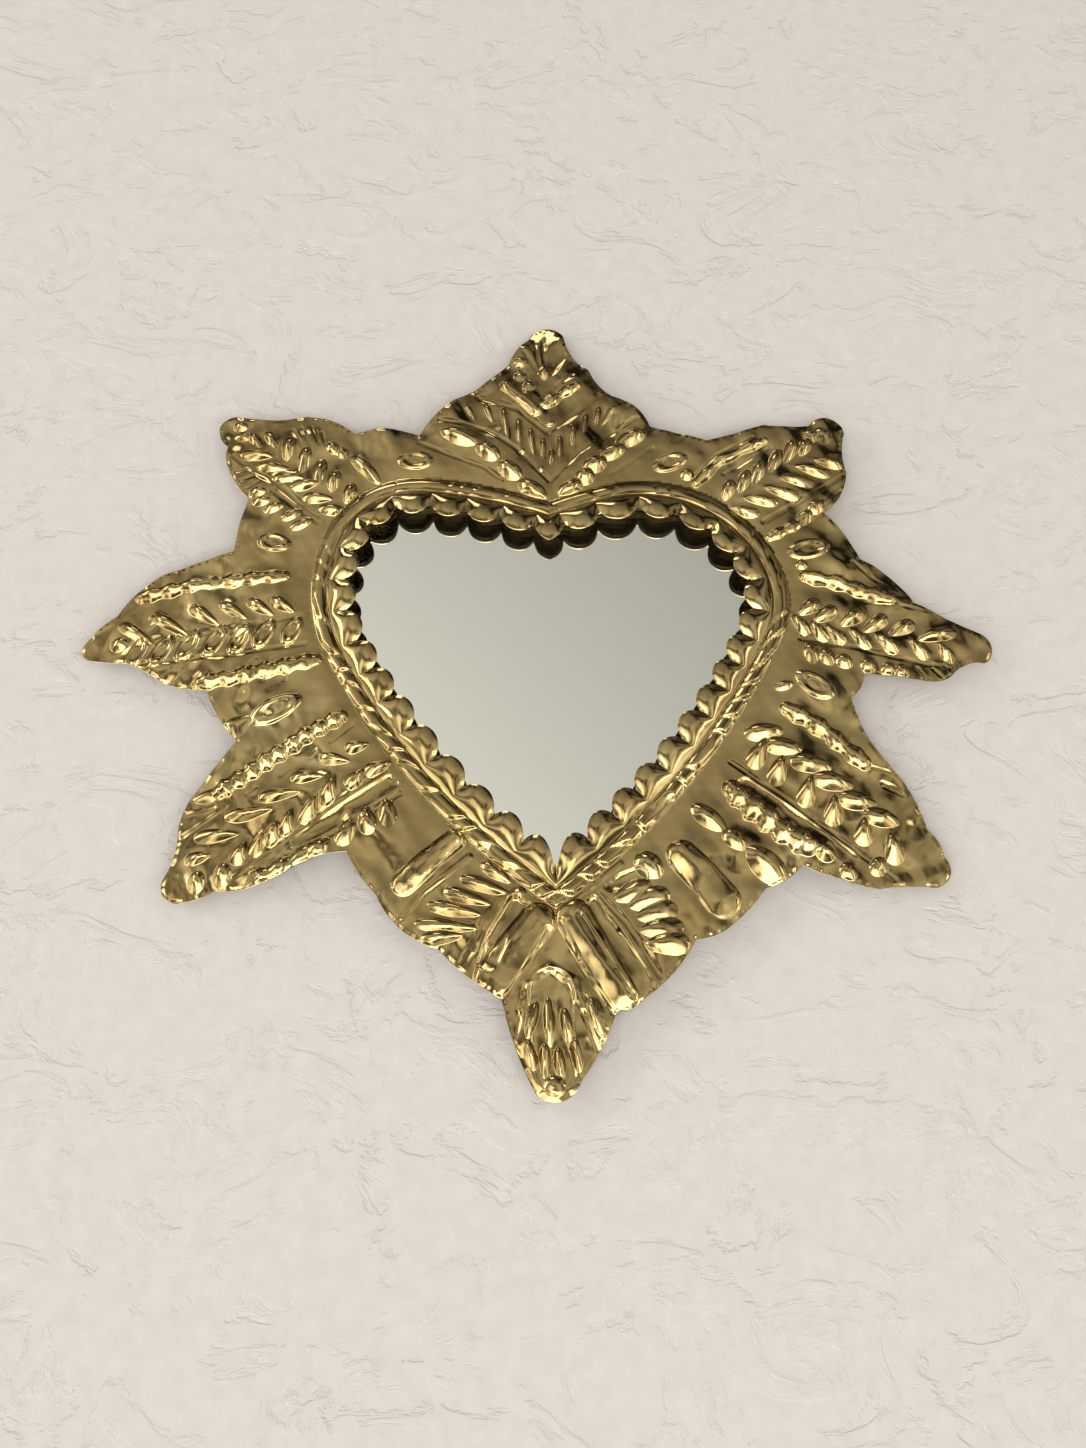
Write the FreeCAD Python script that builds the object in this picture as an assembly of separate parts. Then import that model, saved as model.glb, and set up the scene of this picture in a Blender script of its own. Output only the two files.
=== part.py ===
import FreeCAD, Part
import math
import os

# An embossed brass wall mirror with a heart-shaped glass. Millimetres.
# X is to the right of a person who looks at it, -Y is toward that person and +Z is up.
# The origin is on the wall, at the top of the nail that carries the hanging ring.
# A height is a distance in front of the wall. A reach is a distance outward from the heart's crest line,
# which is the line of the notches between the scallops.

# Overall size
WIDTH = 403.0
HEART_HEIGHT = 160.0

# The crest line: on each side four arcs, each tangent to the next. Angles are in degrees from +X.
UPPER_RADIUS_SHARE = 1.440
LOWER_RADIUS_SHARE = 1.955
CUSP_ANGLE = 111.5
POINT_ANGLE = -52.2
# The shoulder arc of each side: its radius as a share of the heart's height, and the angles where it takes
# over from the upper arc and gives way to the side arc
SHOULDER_RADIUS_SHARE = {"left": 0.1875, "right": 0.3230}
SHOULDER_FIRST_ANGLE = {"left": 96.8, "right": 104.0}
SHOULDER_LAST_ANGLE = {"left": 22.2, "right": 10.4}

# Thicknesses, each measured square to the wall
SHEET_GAUGE = 0.7
GLASS_THICKNESS = 3.0
CARD_THICKNESS = 1.0
TRAY_GAUGE = 0.5
PAD_THICKNESS = 3.5
CLIP_GAUGE = 0.4
STRAP_GAUGE = 0.6

# The sheet's section, from the scallops' free edge outward
SCALLOP_REACH = 6.5
SCALLOP_DROP = 1.0
SCALLOP_TRIM = 0.6
ROLL_ABOVE_GLASS = 9.0
ROLL_INSET = 2.2
BAND_WIDTH = 7.0
BAND_DROP = 4.0
ROPE_WIDTH = 7.0
ROPE_BULGE = 1.2
CREASE_DROP = 1.0
FIELD_RISE = 0.8
FIELD_RISE_WIDTH = 27.5
FIELD_RISE_SHARES = (0.42, 0.87)
EDGE_DROP = 8.5
EDGE_DROP_WIDTH = 93.0
EDGE_DROP_SHARES = (0.5, 0.27)

# The notches between the scallops, as shares of the way along the crest line from the cusp
NOTCH_SHARES = {
    "left": (0.0258, 0.0805, 0.1374, 0.1938, 0.2519, 0.3086, 0.3623, 0.4146, 0.4696, 0.5260, 0.5787, 0.6331,
             0.6919, 0.7540, 0.8179, 0.8808, 0.9399, 0.9963),
    "right": (0.0254, 0.0870, 0.1555, 0.2199, 0.2852, 0.3466, 0.4030, 0.4573, 0.5083, 0.5572, 0.6071, 0.6603,
              0.7143, 0.7713, 0.8275, 0.8793, 0.9348, 0.9939),
}
NOTCH_FLAT_REACH = 0.5

# The pan behind the glass and what it holds
GLASS_REACH = 4.5
WALL_REACH = 5.2
FLANGE_REACH = 17.5
SEAT_GAP = 0.1
CLIP_WIDTH = 8.0
CLIP_LIP = 1.6
CLIP_STATION_SHARES = (0.1, 0.3, 0.62, 0.85)
BEAD_RADIUS = 2.0
BEAD_REACH = 15.0
BEAD_STATION_SHARES = (0.08, 0.26, 0.44, 0.62, 0.8, 0.94)

# The hanger
RING_WIRE_RADIUS = 0.8
RING_HALF_WIDTH = 10.0
RING_LENGTH = 17.0
RING_CORNER_RADIUS = 3.0
EYE_CLEARANCE = 0.05
EYE_WIDTH = 9.0
EYE_END_ANGLE = 200.0
STRAP_WIDTH = 16.0
STRAP_LENGTH = 13.0
RIVET_RADIUS = 1.2
RIVET_HEAD_RADIUS = 2.1
RIVET_HEAD_HEIGHT = 0.7
RIVET_SPACING = 9.6
RIVET_BELOW_EDGE = 6.5
RIVET_CLEARANCE = 0.05

# The pads: each one's place as a share of the heart's height, from the middle of the crest line's height
PAD_RADIUS = 8.0
PAD_PLACE_SHARES = {
    "left": (-0.34, 0.22),
    "right": (0.34, 0.22),
    "bottom": (0.0, -0.30),
}

# How far cutting shapes run past what they cut, in millimetres and in degrees
OVERRUN = 4.0
ANGLE_OVERRUN = 3.0

# The outline of the sheet: arcs that start at the first point and go clockwise, each through one point
# to the next. Places are shares of the width, from the middle of the crest line's height.
OUTLINE_SHARES = (
    # top leaf, from its tip down the right side
    (-0.020, 0.466), (-0.002, 0.482), (0.023, 0.460), (0.033, 0.436), (0.051, 0.417),
    (0.055, 0.405), (0.078, 0.377), (0.102, 0.363), (0.120, 0.334),
    # upper right scallop of the edge
    (0.149, 0.326), (0.185, 0.312),
    # upper right leaf
    (0.216, 0.322), (0.253, 0.334), (0.283, 0.331), (0.306, 0.333), (0.329, 0.343),
    (0.346, 0.321), (0.341, 0.292), (0.343, 0.267), (0.335, 0.240), (0.313, 0.214),
    # right upper scallop of the edge
    (0.333, 0.188), (0.347, 0.154),
    # right leaf
    (0.380, 0.131), (0.402, 0.099), (0.444, 0.078), (0.474, 0.062), (0.484, 0.044),
    (0.475, 0.029), (0.454, 0.027), (0.438, 0.016), (0.429, 0.008), (0.418, 0.005),
    (0.380, 0.010), (0.339, 0.015),
    # right lower scallop of the edge
    (0.334, -0.001), (0.322, -0.014),
    # lower right leaf
    (0.335, -0.056), (0.357, -0.094), (0.378, -0.124), (0.390, -0.160), (0.400, -0.172),
    (0.405, -0.188), (0.408, -0.212), (0.393, -0.222), (0.364, -0.221), (0.333, -0.224),
    (0.293, -0.214), (0.255, -0.198),
    # lower right edge
    (0.237, -0.214), (0.215, -0.223), (0.200, -0.241), (0.180, -0.259), (0.162, -0.271),
    (0.141, -0.275), (0.118, -0.307), (0.085, -0.335), (0.072, -0.344), (0.058, -0.346),
    # bottom leaf
    (0.043, -0.381), (0.021, -0.414), (-0.001, -0.433), (-0.024, -0.424), (-0.043, -0.381),
    (-0.056, -0.333),
    # lower left edge
    (-0.088, -0.311), (-0.119, -0.282), (-0.156, -0.262), (-0.184, -0.224),
    (-0.203, -0.201), (-0.216, -0.176),
    # lower left leaf
    (-0.251, -0.183), (-0.283, -0.200), (-0.318, -0.212), (-0.355, -0.214),
    (-0.371, -0.222), (-0.385, -0.224), (-0.406, -0.218), (-0.407, -0.198),
    (-0.399, -0.180), (-0.395, -0.157), (-0.391, -0.130), (-0.379, -0.108),
    (-0.360, -0.080), (-0.338, -0.052),
    # left lower scallop of the edge
    (-0.359, -0.024), (-0.374, 0.008),
    # left leaf
    (-0.399, 0.012), (-0.423, 0.019), (-0.444, 0.033), (-0.466, 0.044), (-0.489, 0.048),
    (-0.510, 0.051), (-0.518, 0.060), (-0.516, 0.070), (-0.502, 0.088), (-0.482, 0.103),
    (-0.465, 0.127), (-0.434, 0.150), (-0.396, 0.164), (-0.355, 0.178),
    # left upper scallop of the edge
    (-0.351, 0.212), (-0.343, 0.248),
    # upper left leaf
    (-0.358, 0.266), (-0.369, 0.289), (-0.373, 0.303), (-0.371, 0.317), (-0.381, 0.330),
    (-0.384, 0.344), (-0.378, 0.354), (-0.361, 0.358), (-0.323, 0.352), (-0.281, 0.356),
    (-0.252, 0.349), (-0.224, 0.331),
    # upper left scallop of the edge
    (-0.186, 0.336), (-0.149, 0.328),
    # top leaf, up the left side to its tip
    (-0.131, 0.353), (-0.108, 0.376), (-0.076, 0.396), (-0.045, 0.426), (-0.035, 0.447),
)

# Heights of the layers, from the wall forward
tray_back = PAD_THICKNESS
card_back = tray_back + TRAY_GAUGE
glass_back = card_back + CARD_THICKNESS
glass_front = glass_back + GLASS_THICKNESS
roll_height = glass_front + ROLL_ABOVE_GLASS
foot_height = roll_height - BAND_DROP
crease_height = foot_height - CREASE_DROP
field_height = crease_height + FIELD_RISE
flange_front = crease_height - SHEET_GAUGE - SEAT_GAP

# Reaches of the section's corners. The section starts inside the scallops' free edge, which is cut from it.
lip_reach = SCALLOP_REACH + SCALLOP_TRIM
crease_reach = BAND_WIDTH + ROPE_WIDTH
field_reach = crease_reach + FIELD_RISE_WIDTH
edge_reach = field_reach + EDGE_DROP_WIDTH
tray_reach = WALL_REACH + TRAY_GAUGE

# The hanging ring's bar and the heart's place below the nail
eye_inner = RING_WIRE_RADIUS + EYE_CLEARANCE
eye_outer = eye_inner + STRAP_GAUGE
pivot_z = -RING_LENGTH
pivot_height = tray_back - eye_outer
tray_edge_z = pivot_z - eye_outer - SEAT_GAP
upper_radius = UPPER_RADIUS_SHARE * HEART_HEIGHT
lower_radius = LOWER_RADIUS_SHARE * HEART_HEIGHT


def direction(angle):
    """Unit vector at an angle in the plane of the wall."""
    return FreeCAD.Vector(math.cos(math.radians(angle)), 0, math.sin(math.radians(angle)))


def rise_to_reach(reach):
    """How far above the cusp the upper arcs' outward offset meets the middle line."""
    side = upper_radius * math.cos(math.radians(CUSP_ANGLE))
    top = upper_radius * math.sin(math.radians(CUSP_ANGLE))
    return math.sqrt((upper_radius + reach) ** 2 - side ** 2) - top


cusp = FreeCAD.Vector(0, 0, tray_edge_z - rise_to_reach(tray_reach))
heart_point = cusp - FreeCAD.Vector(0, 0, HEART_HEIGHT)
middle_z = cusp.z - HEART_HEIGHT / 2


def crest_arcs(side):
    """The four arcs of one side, as (centre, radius, first angle, last angle), drawn on the right."""
    radius = SHOULDER_RADIUS_SHARE[side] * HEART_HEIGHT
    shoulder_first, shoulder_last = SHOULDER_FIRST_ANGLE[side], SHOULDER_LAST_ANGLE[side]
    upper_centre = cusp - direction(CUSP_ANGLE) * upper_radius
    lower_centre = heart_point - direction(POINT_ANGLE) * lower_radius
    centre = upper_centre + direction(shoulder_first) * (upper_radius - radius)
    joint = direction(shoulder_last)
    reach = centre + joint * radius - lower_centre
    side_radius = (lower_radius ** 2 - reach.dot(reach)) / (2 * (lower_radius - reach.dot(joint)))
    side_centre = centre + joint * (radius - side_radius)
    line = side_centre - lower_centre
    last = math.degrees(math.atan2(line.z, line.x))
    return [
        (upper_centre, upper_radius, CUSP_ANGLE, shoulder_first),
        (centre, radius, shoulder_first, shoulder_last),
        (side_centre, side_radius, shoulder_last, last),
        (lower_centre, lower_radius, last, POINT_ANGLE),
    ]


def place(arc, angle, reach, height):
    """The point at an angle of an arc, a reach outward and a height in front of the wall."""
    centre, radius = arc[0], arc[1]
    return centre + direction(angle) * (radius + reach) - FreeCAD.Vector(0, height, 0)


def side_length(arcs):
    """Length of one side's crest line."""
    return sum(math.radians(first - last) * radius for centre, radius, first, last in arcs)


def station(arcs, distance):
    """The arc, and the angle on it, at a distance from the cusp along the crest line."""
    for arc in arcs:
        centre, radius, first, last = arc
        length = math.radians(first - last) * radius
        if distance <= length or arc is arcs[-1]:
            return arc, first - math.degrees(distance / radius)
        distance -= length


def on_side(side, shape):
    """A shape drawn on the right, moved to its own side."""
    if side == "left":
        return shape.mirror(FreeCAD.Vector(0, 0, 0), FreeCAD.Vector(1, 0, 0))
    return shape


def middle_angle(arc, reach):
    """The angle where an end arc's offset meets the middle line."""
    centre, radius, first, last = arc
    angle = math.degrees(math.acos(-centre.x / (radius + reach)))
    return angle if first > 0 else -angle


def heart_face(reach):
    """The heart's outline, a reach outside the crest line, as a flat face on the wall."""
    edges = []
    for side in ("right", "left"):
        arcs = crest_arcs(side)
        for number, arc in enumerate(arcs):
            centre, radius, first, last = arc
            if number == 0:
                first = middle_angle(arc, reach)
            if number == len(arcs) - 1:
                last = middle_angle(arc, reach)
            points = [place(arc, angle, reach, 0) for angle in (first, (first + last) / 2, last)]
            edges.append(on_side(side, Part.Arc(*points).toShape()))
    wire = Part.Wire(Part.__sortEdges__(edges))
    return Part.Face(wire)


def layer(face, back, front):
    """A flat layer with the face's outline, between two heights."""
    shape = face.copy()
    shape.translate(FreeCAD.Vector(0, -back, 0))
    return shape.extrude(FreeCAD.Vector(0, back - front, 0))


def drum(x, z, radius, back, front):
    """A round piece that stands off the wall, between two heights."""
    base = FreeCAD.Vector(x, -back, z)
    return Part.makeCylinder(radius, front - back, base, FreeCAD.Vector(0, -1, 0))


def turned(arc, first, last, section):
    """A section, given as a list of ("line", point) and ("arc", through, point) steps after its first
    point, turned about an arc's centre. Its points are (reach, height)."""
    def at(point):
        return place(arc, first, point[0], point[1])
    edges = []
    start = section[0]
    for step in section[1:]:
        if step[0] == "line":
            edges.append(Part.makeLine(at(start), at(step[1])))
        else:
            edges.append(Part.Arc(at(start), at(step[1]), at(step[2])).toShape())
        start = step[-1]
    face = Part.Face(Part.Wire(edges))
    return face.revolve(arc[0], FreeCAD.Vector(0, 1, 0), first - last)


def sheet_section():
    """The brass sheet's section: the roll with the scallops, rope, crease and the field out to the leaves."""
    rise_run, rise = FIELD_RISE_SHARES
    drop_run, drop = EDGE_DROP_SHARES
    corners = [
        (-lip_reach, roll_height - SCALLOP_DROP),
        (BAND_WIDTH, foot_height),
        (crease_reach, crease_height),
        (field_reach, field_height),
        (edge_reach, field_height - EDGE_DROP),
    ]
    through = [
        (-ROLL_INSET, roll_height),
        (BAND_WIDTH + ROPE_WIDTH / 2, (foot_height + crease_height) / 2 + ROPE_BULGE),
        (crease_reach + FIELD_RISE_WIDTH * rise_run, crease_height + FIELD_RISE * rise),
        (field_reach + EDGE_DROP_WIDTH * drop_run, field_height - EDGE_DROP * drop),
    ]

    def behind(point):
        return (point[0], point[1] - SHEET_GAUGE)
    section = [corners[0]]
    for middle, corner in zip(through, corners[1:]):
        section.append(("arc", middle, corner))
    section.append(("line", behind(corners[-1])))
    for middle, corner in zip(reversed(through), reversed(corners[:-1])):
        section.append(("arc", behind(middle), behind(corner)))
    section.append(("line", corners[0]))
    return section


def outline_face():
    """The sheet's outer outline as a flat face on the wall."""
    points = [FreeCAD.Vector(x * WIDTH, 0, middle_z + z * WIDTH) for x, z in OUTLINE_SHARES]
    points.append(points[0])
    edges = [Part.Arc(*points[i:i + 3]).toShape() for i in range(0, len(points) - 1, 2)]
    return Part.Face(Part.Wire(edges))


def scallops(side):
    """The arc, the angle on it and half the width of every scallop but the one at the cusp."""
    arcs = crest_arcs(side)
    length = side_length(arcs)
    notches = NOTCH_SHARES[side]
    found = []
    for first, last in zip(notches, notches[1:]):
        arc, angle = station(arcs, (first + last) / 2 * length)
        found.append((arc, angle, (last - first) / 2 * length))
    return found


def cusp_half_width():
    """Half the width of the scallop at the cusp."""
    ends = [NOTCH_SHARES[side][0] * side_length(crest_arcs(side)) for side in ("right", "left")]
    return sum(ends) / len(ends)


def disc_centre_reach(half_width):
    """Reach of the centre of a scallop's round edge, which meets its neighbours' on the crest line."""
    return (half_width ** 2 - SCALLOP_REACH ** 2) / (2 * SCALLOP_REACH)


def scallop_discs():
    """Discs whose inner edges are the scallops' free edges."""
    half_width = cusp_half_width()
    reach = disc_centre_reach(half_width)
    high = roll_height + OVERRUN
    discs = [drum(0, cusp.z + rise_to_reach(reach), reach + SCALLOP_REACH, -OVERRUN, high)]
    for side in ("right", "left"):
        for arc, angle, half_width in scallops(side):
            reach = disc_centre_reach(half_width)
            centre = place(arc, angle, reach, 0)
            discs.append(on_side(side, drum(centre.x, centre.z, reach + SCALLOP_REACH, -OVERRUN, high)))
    return discs


def make_front_sheet():
    """Each side turned arc by arc, trimmed to the middle line and the outline, then the scallops cut."""
    high = roll_height + OVERRUN
    section = sheet_section()
    halves = []
    for side in ("right", "left"):
        arcs = crest_arcs(side)
        pieces = []
        for number, arc in enumerate(arcs):
            centre, radius, first, last = arc
            if number == 0:
                first = middle_angle(arc, -lip_reach) + ANGLE_OVERRUN
            if number == len(arcs) - 1:
                last = middle_angle(arc, edge_reach) - ANGLE_OVERRUN
            pieces.append(turned(arc, first, last, section))
        half = pieces[0].fuse(pieces[1:])
        corner = FreeCAD.Vector(0, -high, middle_z - WIDTH)
        half = half.common(Part.makeBox(WIDTH, high + OVERRUN, 2 * WIDTH, corner))
        halves.append(on_side(side, half))
    sheet = halves[0].fuse(halves[1]).common(layer(outline_face(), -OVERRUN, high))
    opening = layer(heart_face(-NOTCH_FLAT_REACH), -OVERRUN, high).cut(scallop_discs())
    return sheet.cut(opening)


def rivet_places():
    """The two rivets' x, and their common z."""
    return (-RIVET_SPACING / 2, RIVET_SPACING / 2), tray_edge_z - RIVET_BELOW_EDGE


def rivet_holes(radius, back, front):
    """Cutters for the rivets' holes."""
    places, z = rivet_places()
    return [drum(x, z, radius, back - OVERRUN, front + OVERRUN) for x in places]


def make_back_tray():
    """A pan with a floor, a wall round the glass and a flange behind the sheet's crease."""
    floor = layer(heart_face(tray_reach), tray_back, card_back)
    rim = layer(heart_face(FLANGE_REACH), flange_front - TRAY_GAUGE, flange_front)
    wall = layer(heart_face(tray_reach), tray_back, flange_front)
    inside = layer(heart_face(WALL_REACH), card_back, flange_front + OVERRUN)
    tray = floor.fuse([wall, rim]).cut(inside)
    return tray.cut(rivet_holes(RIVET_RADIUS + RIVET_CLEARANCE, tray_back, card_back)).removeSplitter()


def make_packing_card():
    """The card, with room for the rivets' inner heads."""
    card = layer(heart_face(GLASS_REACH), card_back, glass_back)
    return card.cut(rivet_holes(RIVET_HEAD_RADIUS + SEAT_GAP, card_back, glass_back))


def make_mirror_glass():
    """The heart-shaped glass."""
    return layer(heart_face(GLASS_REACH), glass_back, glass_front)


def make_glass_clips():
    """Bent strips on the inside of the pan's wall, each with a lip over the glass."""
    outer = WALL_REACH - SEAT_GAP
    inner = outer - CLIP_GAUGE
    lip_end = GLASS_REACH - CLIP_LIP
    lip_back = glass_front + SEAT_GAP
    section = [
        (outer, card_back),
        ("line", (outer, lip_back + CLIP_GAUGE)),
        ("line", (lip_end, lip_back + CLIP_GAUGE)),
        ("line", (lip_end, lip_back)),
        ("line", (inner, lip_back)),
        ("line", (inner, card_back)),
        ("line", (outer, card_back)),
    ]
    clips = []
    for side in ("left", "right"):
        arcs = crest_arcs(side)
        for share in CLIP_STATION_SHARES:
            arc, angle = station(arcs, share * side_length(arcs))
            half_angle = math.degrees(CLIP_WIDTH / 2 / (arc[1] + outer))
            clips.append(on_side(side, turned(arc, angle + half_angle, angle - half_angle, section)))
    return Part.Compound(clips)


def make_solder_beads(sheet):
    """Beads that fill the space between the pan's flange and the back of the sheet."""
    beads = []
    for side in ("left", "right"):
        arcs = crest_arcs(side)
        for share in BEAD_STATION_SHARES:
            arc, angle = station(arcs, share * side_length(arcs))
            centre = place(arc, angle, BEAD_REACH, 0)
            post = drum(centre.x, centre.z, BEAD_RADIUS, flange_front, roll_height)
            rest = on_side(side, post).cut(sheet)
            beads.append(min(rest.Solids, key=lambda solid: -solid.CenterOfMass.y))
    return Part.Compound(beads)


def make_hanger_strap():
    """A strap on the pan's back whose end is rolled round the ring's bar."""
    low = tray_edge_z - STRAP_LENGTH
    front = tray_back
    back = tray_back - STRAP_GAUGE

    def at(z, height):
        return FreeCAD.Vector(-EYE_WIDTH / 2, -height, z)

    def rolled(radius, angle):
        turn = math.radians(angle)
        return at(pivot_z + radius * math.sin(turn), pivot_height + radius * math.cos(turn))
    half_turn = EYE_END_ANGLE / 2
    edges = [
        Part.makeLine(at(low, front), rolled(eye_outer, 0)),
        Part.Arc(rolled(eye_outer, 0), rolled(eye_outer, half_turn),
                 rolled(eye_outer, EYE_END_ANGLE)).toShape(),
        Part.makeLine(rolled(eye_outer, EYE_END_ANGLE), rolled(eye_inner, EYE_END_ANGLE)),
        Part.Arc(rolled(eye_inner, EYE_END_ANGLE), rolled(eye_inner, half_turn),
                 rolled(eye_inner, 0)).toShape(),
        Part.makeLine(rolled(eye_inner, 0), at(low, back)),
        Part.makeLine(at(low, back), at(low, front)),
    ]
    strap = Part.Face(Part.Wire(edges)).extrude(FreeCAD.Vector(EYE_WIDTH, 0, 0))
    corner = FreeCAD.Vector(-STRAP_WIDTH / 2, -front, low)
    plate = Part.makeBox(STRAP_WIDTH, STRAP_GAUGE, STRAP_LENGTH, corner)
    strap = strap.fuse(plate)
    return strap.cut(rivet_holes(RIVET_RADIUS + RIVET_CLEARANCE, back, front)).removeSplitter()


def make_rivet(x):
    """A rivet through the strap and the pan's floor, with a head on each side."""
    z = rivet_places()[1]
    strap_back = tray_back - STRAP_GAUGE
    shank = drum(x, z, RIVET_RADIUS, strap_back, card_back)
    rear_head = drum(x, z, RIVET_HEAD_RADIUS, strap_back - RIVET_HEAD_HEIGHT, strap_back)
    inner_head = drum(x, z, RIVET_HEAD_RADIUS, card_back, card_back + RIVET_HEAD_HEIGHT)
    return shank.fuse([rear_head, inner_head])


def make_hanger_ring():
    """A wire ring with a straight bar at its foot and a half-round top that goes over the nail."""
    top_centre = RING_LENGTH + RING_WIRE_RADIUS - RING_HALF_WIDTH
    corner = RING_CORNER_RADIUS
    slant = corner * (1 - math.sqrt(0.5))

    def at(x, z):
        return FreeCAD.Vector(x, -pivot_height, pivot_z + z)
    half = RING_HALF_WIDTH
    edges = [
        Part.makeLine(at(0, 0), at(half - corner, 0)),
        Part.Arc(at(half - corner, 0), at(half - slant, slant), at(half, corner)).toShape(),
        Part.makeLine(at(half, corner), at(half, top_centre)),
        Part.Arc(at(half, top_centre), at(0, top_centre + half), at(-half, top_centre)).toShape(),
        Part.makeLine(at(-half, top_centre), at(-half, corner)),
        Part.Arc(at(-half, corner), at(slant - half, slant), at(corner - half, 0)).toShape(),
        Part.makeLine(at(corner - half, 0), at(0, 0)),
    ]
    wire = Part.makeCircle(RING_WIRE_RADIUS, at(0, 0), FreeCAD.Vector(1, 0, 0))
    return Part.Wire(edges).makePipeShell([Part.Wire([wire])], True, False)


def make_wall_pad(name):
    """A round felt pad on the pan's back."""
    x, z = PAD_PLACE_SHARES[name]
    return drum(x * HEART_HEIGHT, middle_z + z * HEART_HEIGHT, PAD_RADIUS, 0, tray_back)


def main():
    os.makedirs("parts", exist_ok=True)
    sheet = make_front_sheet()
    left_rivet, right_rivet = rivet_places()[0]
    parts = {
        "front_sheet": sheet,
        "mirror_glass": make_mirror_glass(),
        "packing_card": make_packing_card(),
        "back_tray": make_back_tray(),
        "glass_clips": make_glass_clips(),
        "solder_beads": make_solder_beads(sheet),
        "hanger_strap": make_hanger_strap(),
        "hanger_rivet_left": make_rivet(left_rivet),
        "hanger_rivet_right": make_rivet(right_rivet),
        "hanger_ring": make_hanger_ring(),
    }
    for name in PAD_PLACE_SHARES:
        parts["wall_pad_" + name] = make_wall_pad(name)
    for name, shape in parts.items():
        shape.exportStep("parts/" + name + ".step")
        box = shape.BoundBox
        print(name, "solids", len(shape.Solids), "valid", shape.isValid(), "volume", round(shape.Volume, 1),
              "x", round(box.XMin, 1), round(box.XMax, 1), "y", round(box.YMin, 2), round(box.YMax, 2),
              "z", round(box.ZMin, 1), round(box.ZMax, 1))


main()
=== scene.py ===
import math

import bmesh
import bpy
import numpy as np
from mathutils import Matrix, Vector, geometry, kdtree


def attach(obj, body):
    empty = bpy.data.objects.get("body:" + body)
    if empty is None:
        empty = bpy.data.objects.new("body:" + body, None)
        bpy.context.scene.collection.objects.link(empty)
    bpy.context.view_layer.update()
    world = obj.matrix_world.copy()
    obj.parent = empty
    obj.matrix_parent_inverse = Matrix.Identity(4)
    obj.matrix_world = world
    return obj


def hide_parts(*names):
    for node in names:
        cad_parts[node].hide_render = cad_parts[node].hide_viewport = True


# An embossed brass wall mirror with a heart-shaped glass. Metres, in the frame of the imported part:
# X to the right of a person who looks at it, -Y toward that person, +Z up, the wall at y = 0.
# A height is a distance in front of the wall. A reach is a distance outward from the crest line.

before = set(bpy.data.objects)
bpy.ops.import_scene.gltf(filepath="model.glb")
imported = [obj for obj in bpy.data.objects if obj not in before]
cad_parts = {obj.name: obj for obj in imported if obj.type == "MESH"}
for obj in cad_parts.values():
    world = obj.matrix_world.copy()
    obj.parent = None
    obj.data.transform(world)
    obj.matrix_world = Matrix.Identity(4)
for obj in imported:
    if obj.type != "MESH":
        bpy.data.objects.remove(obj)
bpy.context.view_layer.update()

MM = 0.001
PHOTO_SIZE = (1086, 1448)

# Farther than any distance on the mirror
FAR = 1.0

# The camera, below the mirror and looking up at it
CAMERA_PLACE = Vector((-0.0042, -0.5923, -0.3544))
CAMERA_TILT = math.radians(22.0)
CAMERA_ROLL = math.radians(-0.96)
SENSOR_HEIGHT = 36.0
LENS = 36.05
CLIP_START = 0.01

# The crest line of the heart: on each side four arcs, as in the part's source. Angles in degrees.
HEART_HEIGHT = 160 * MM
UPPER_RADIUS = 230.4 * MM
LOWER_RADIUS = 312.8 * MM
CUSP_ANGLE = 111.5
POINT_ANGLE = -52.2
CUSP_Z = -24.67 * MM
SHOULDERS = {
    "left": {"radius": 30.0 * MM, "from": 96.8, "to": 22.2},
    "right": {"radius": 51.7 * MM, "from": 104.0, "to": 10.4},
}
SIDES = {"left": -1, "right": 1}

# Degrees by which neighbouring arcs overlap, so that no point on their border is missed
ANGLE_SLACK = 1e-6

# The sheet's section
SHEET_GAUGE = 0.7 * MM
ROLL_HEIGHT = 17 * MM
ROLL_INSET = 2.2 * MM
FOOT_HEIGHT = 13 * MM
CREASE_HEIGHT = 12 * MM
FIELD_HEIGHT = 12.8 * MM
EDGE_HEIGHT = 4.3 * MM
BAND_REACH = 7 * MM
CREASE_REACH = 14 * MM
FIELD_REACH = 41.5 * MM
EDGE_REACH = 134.5 * MM
ROPE_BULGE = 1.2 * MM
FIELD_POWER = 3.6
EDGE_POWER = 1.9
EDGE_OVERRUN = 1.2

# The scallops: cells of the roll, each arched along the rim and parted from the next by a groove
SCALLOP_REACH = 6.5 * MM
NOTCH_REACH = 0.5 * MM
ARCH_DROP = 2.3 * MM
ARCH_POWER = 2.5
ARCH_START_REACH = -1 * MM
ARCH_END_REACH = 6.5 * MM

# The rope's slanting facets, fainter near the cusp. Waves are (seed, count, shortest, longest).
ROPE_PITCH = 11.5 * MM
ROPE_SLANT = 1.1
ROPE_STEP = 1.5 * MM
ROPE_STEP_SHARE = 0.32
ROPE_WANDER = 0.4
ROPE_WAVES = (5, 10, 16 * MM, 50 * MM)
ROPE_START_REACHES = (BAND_REACH + 0.2 * MM, BAND_REACH + 1.4 * MM)
ROPE_END_REACHES = (CREASE_REACH - 1.2 * MM, CREASE_REACH)
ROPE_FAINT_SHARE = 0.25
ROPE_GROWS_ALONG = (110 * MM, 150 * MM)

# The hammered unevenness: heights and waves
FIELD_WAVES = [(0.65 * MM, (1, 16, 18 * MM, 46 * MM)), (0.15 * MM, (2, 16, 8 * MM, 14 * MM))]
FINE_HEIGHT = 0.02 * MM
FINE_WAVES = (3, 16, 4 * MM, 9 * MM)

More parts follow.
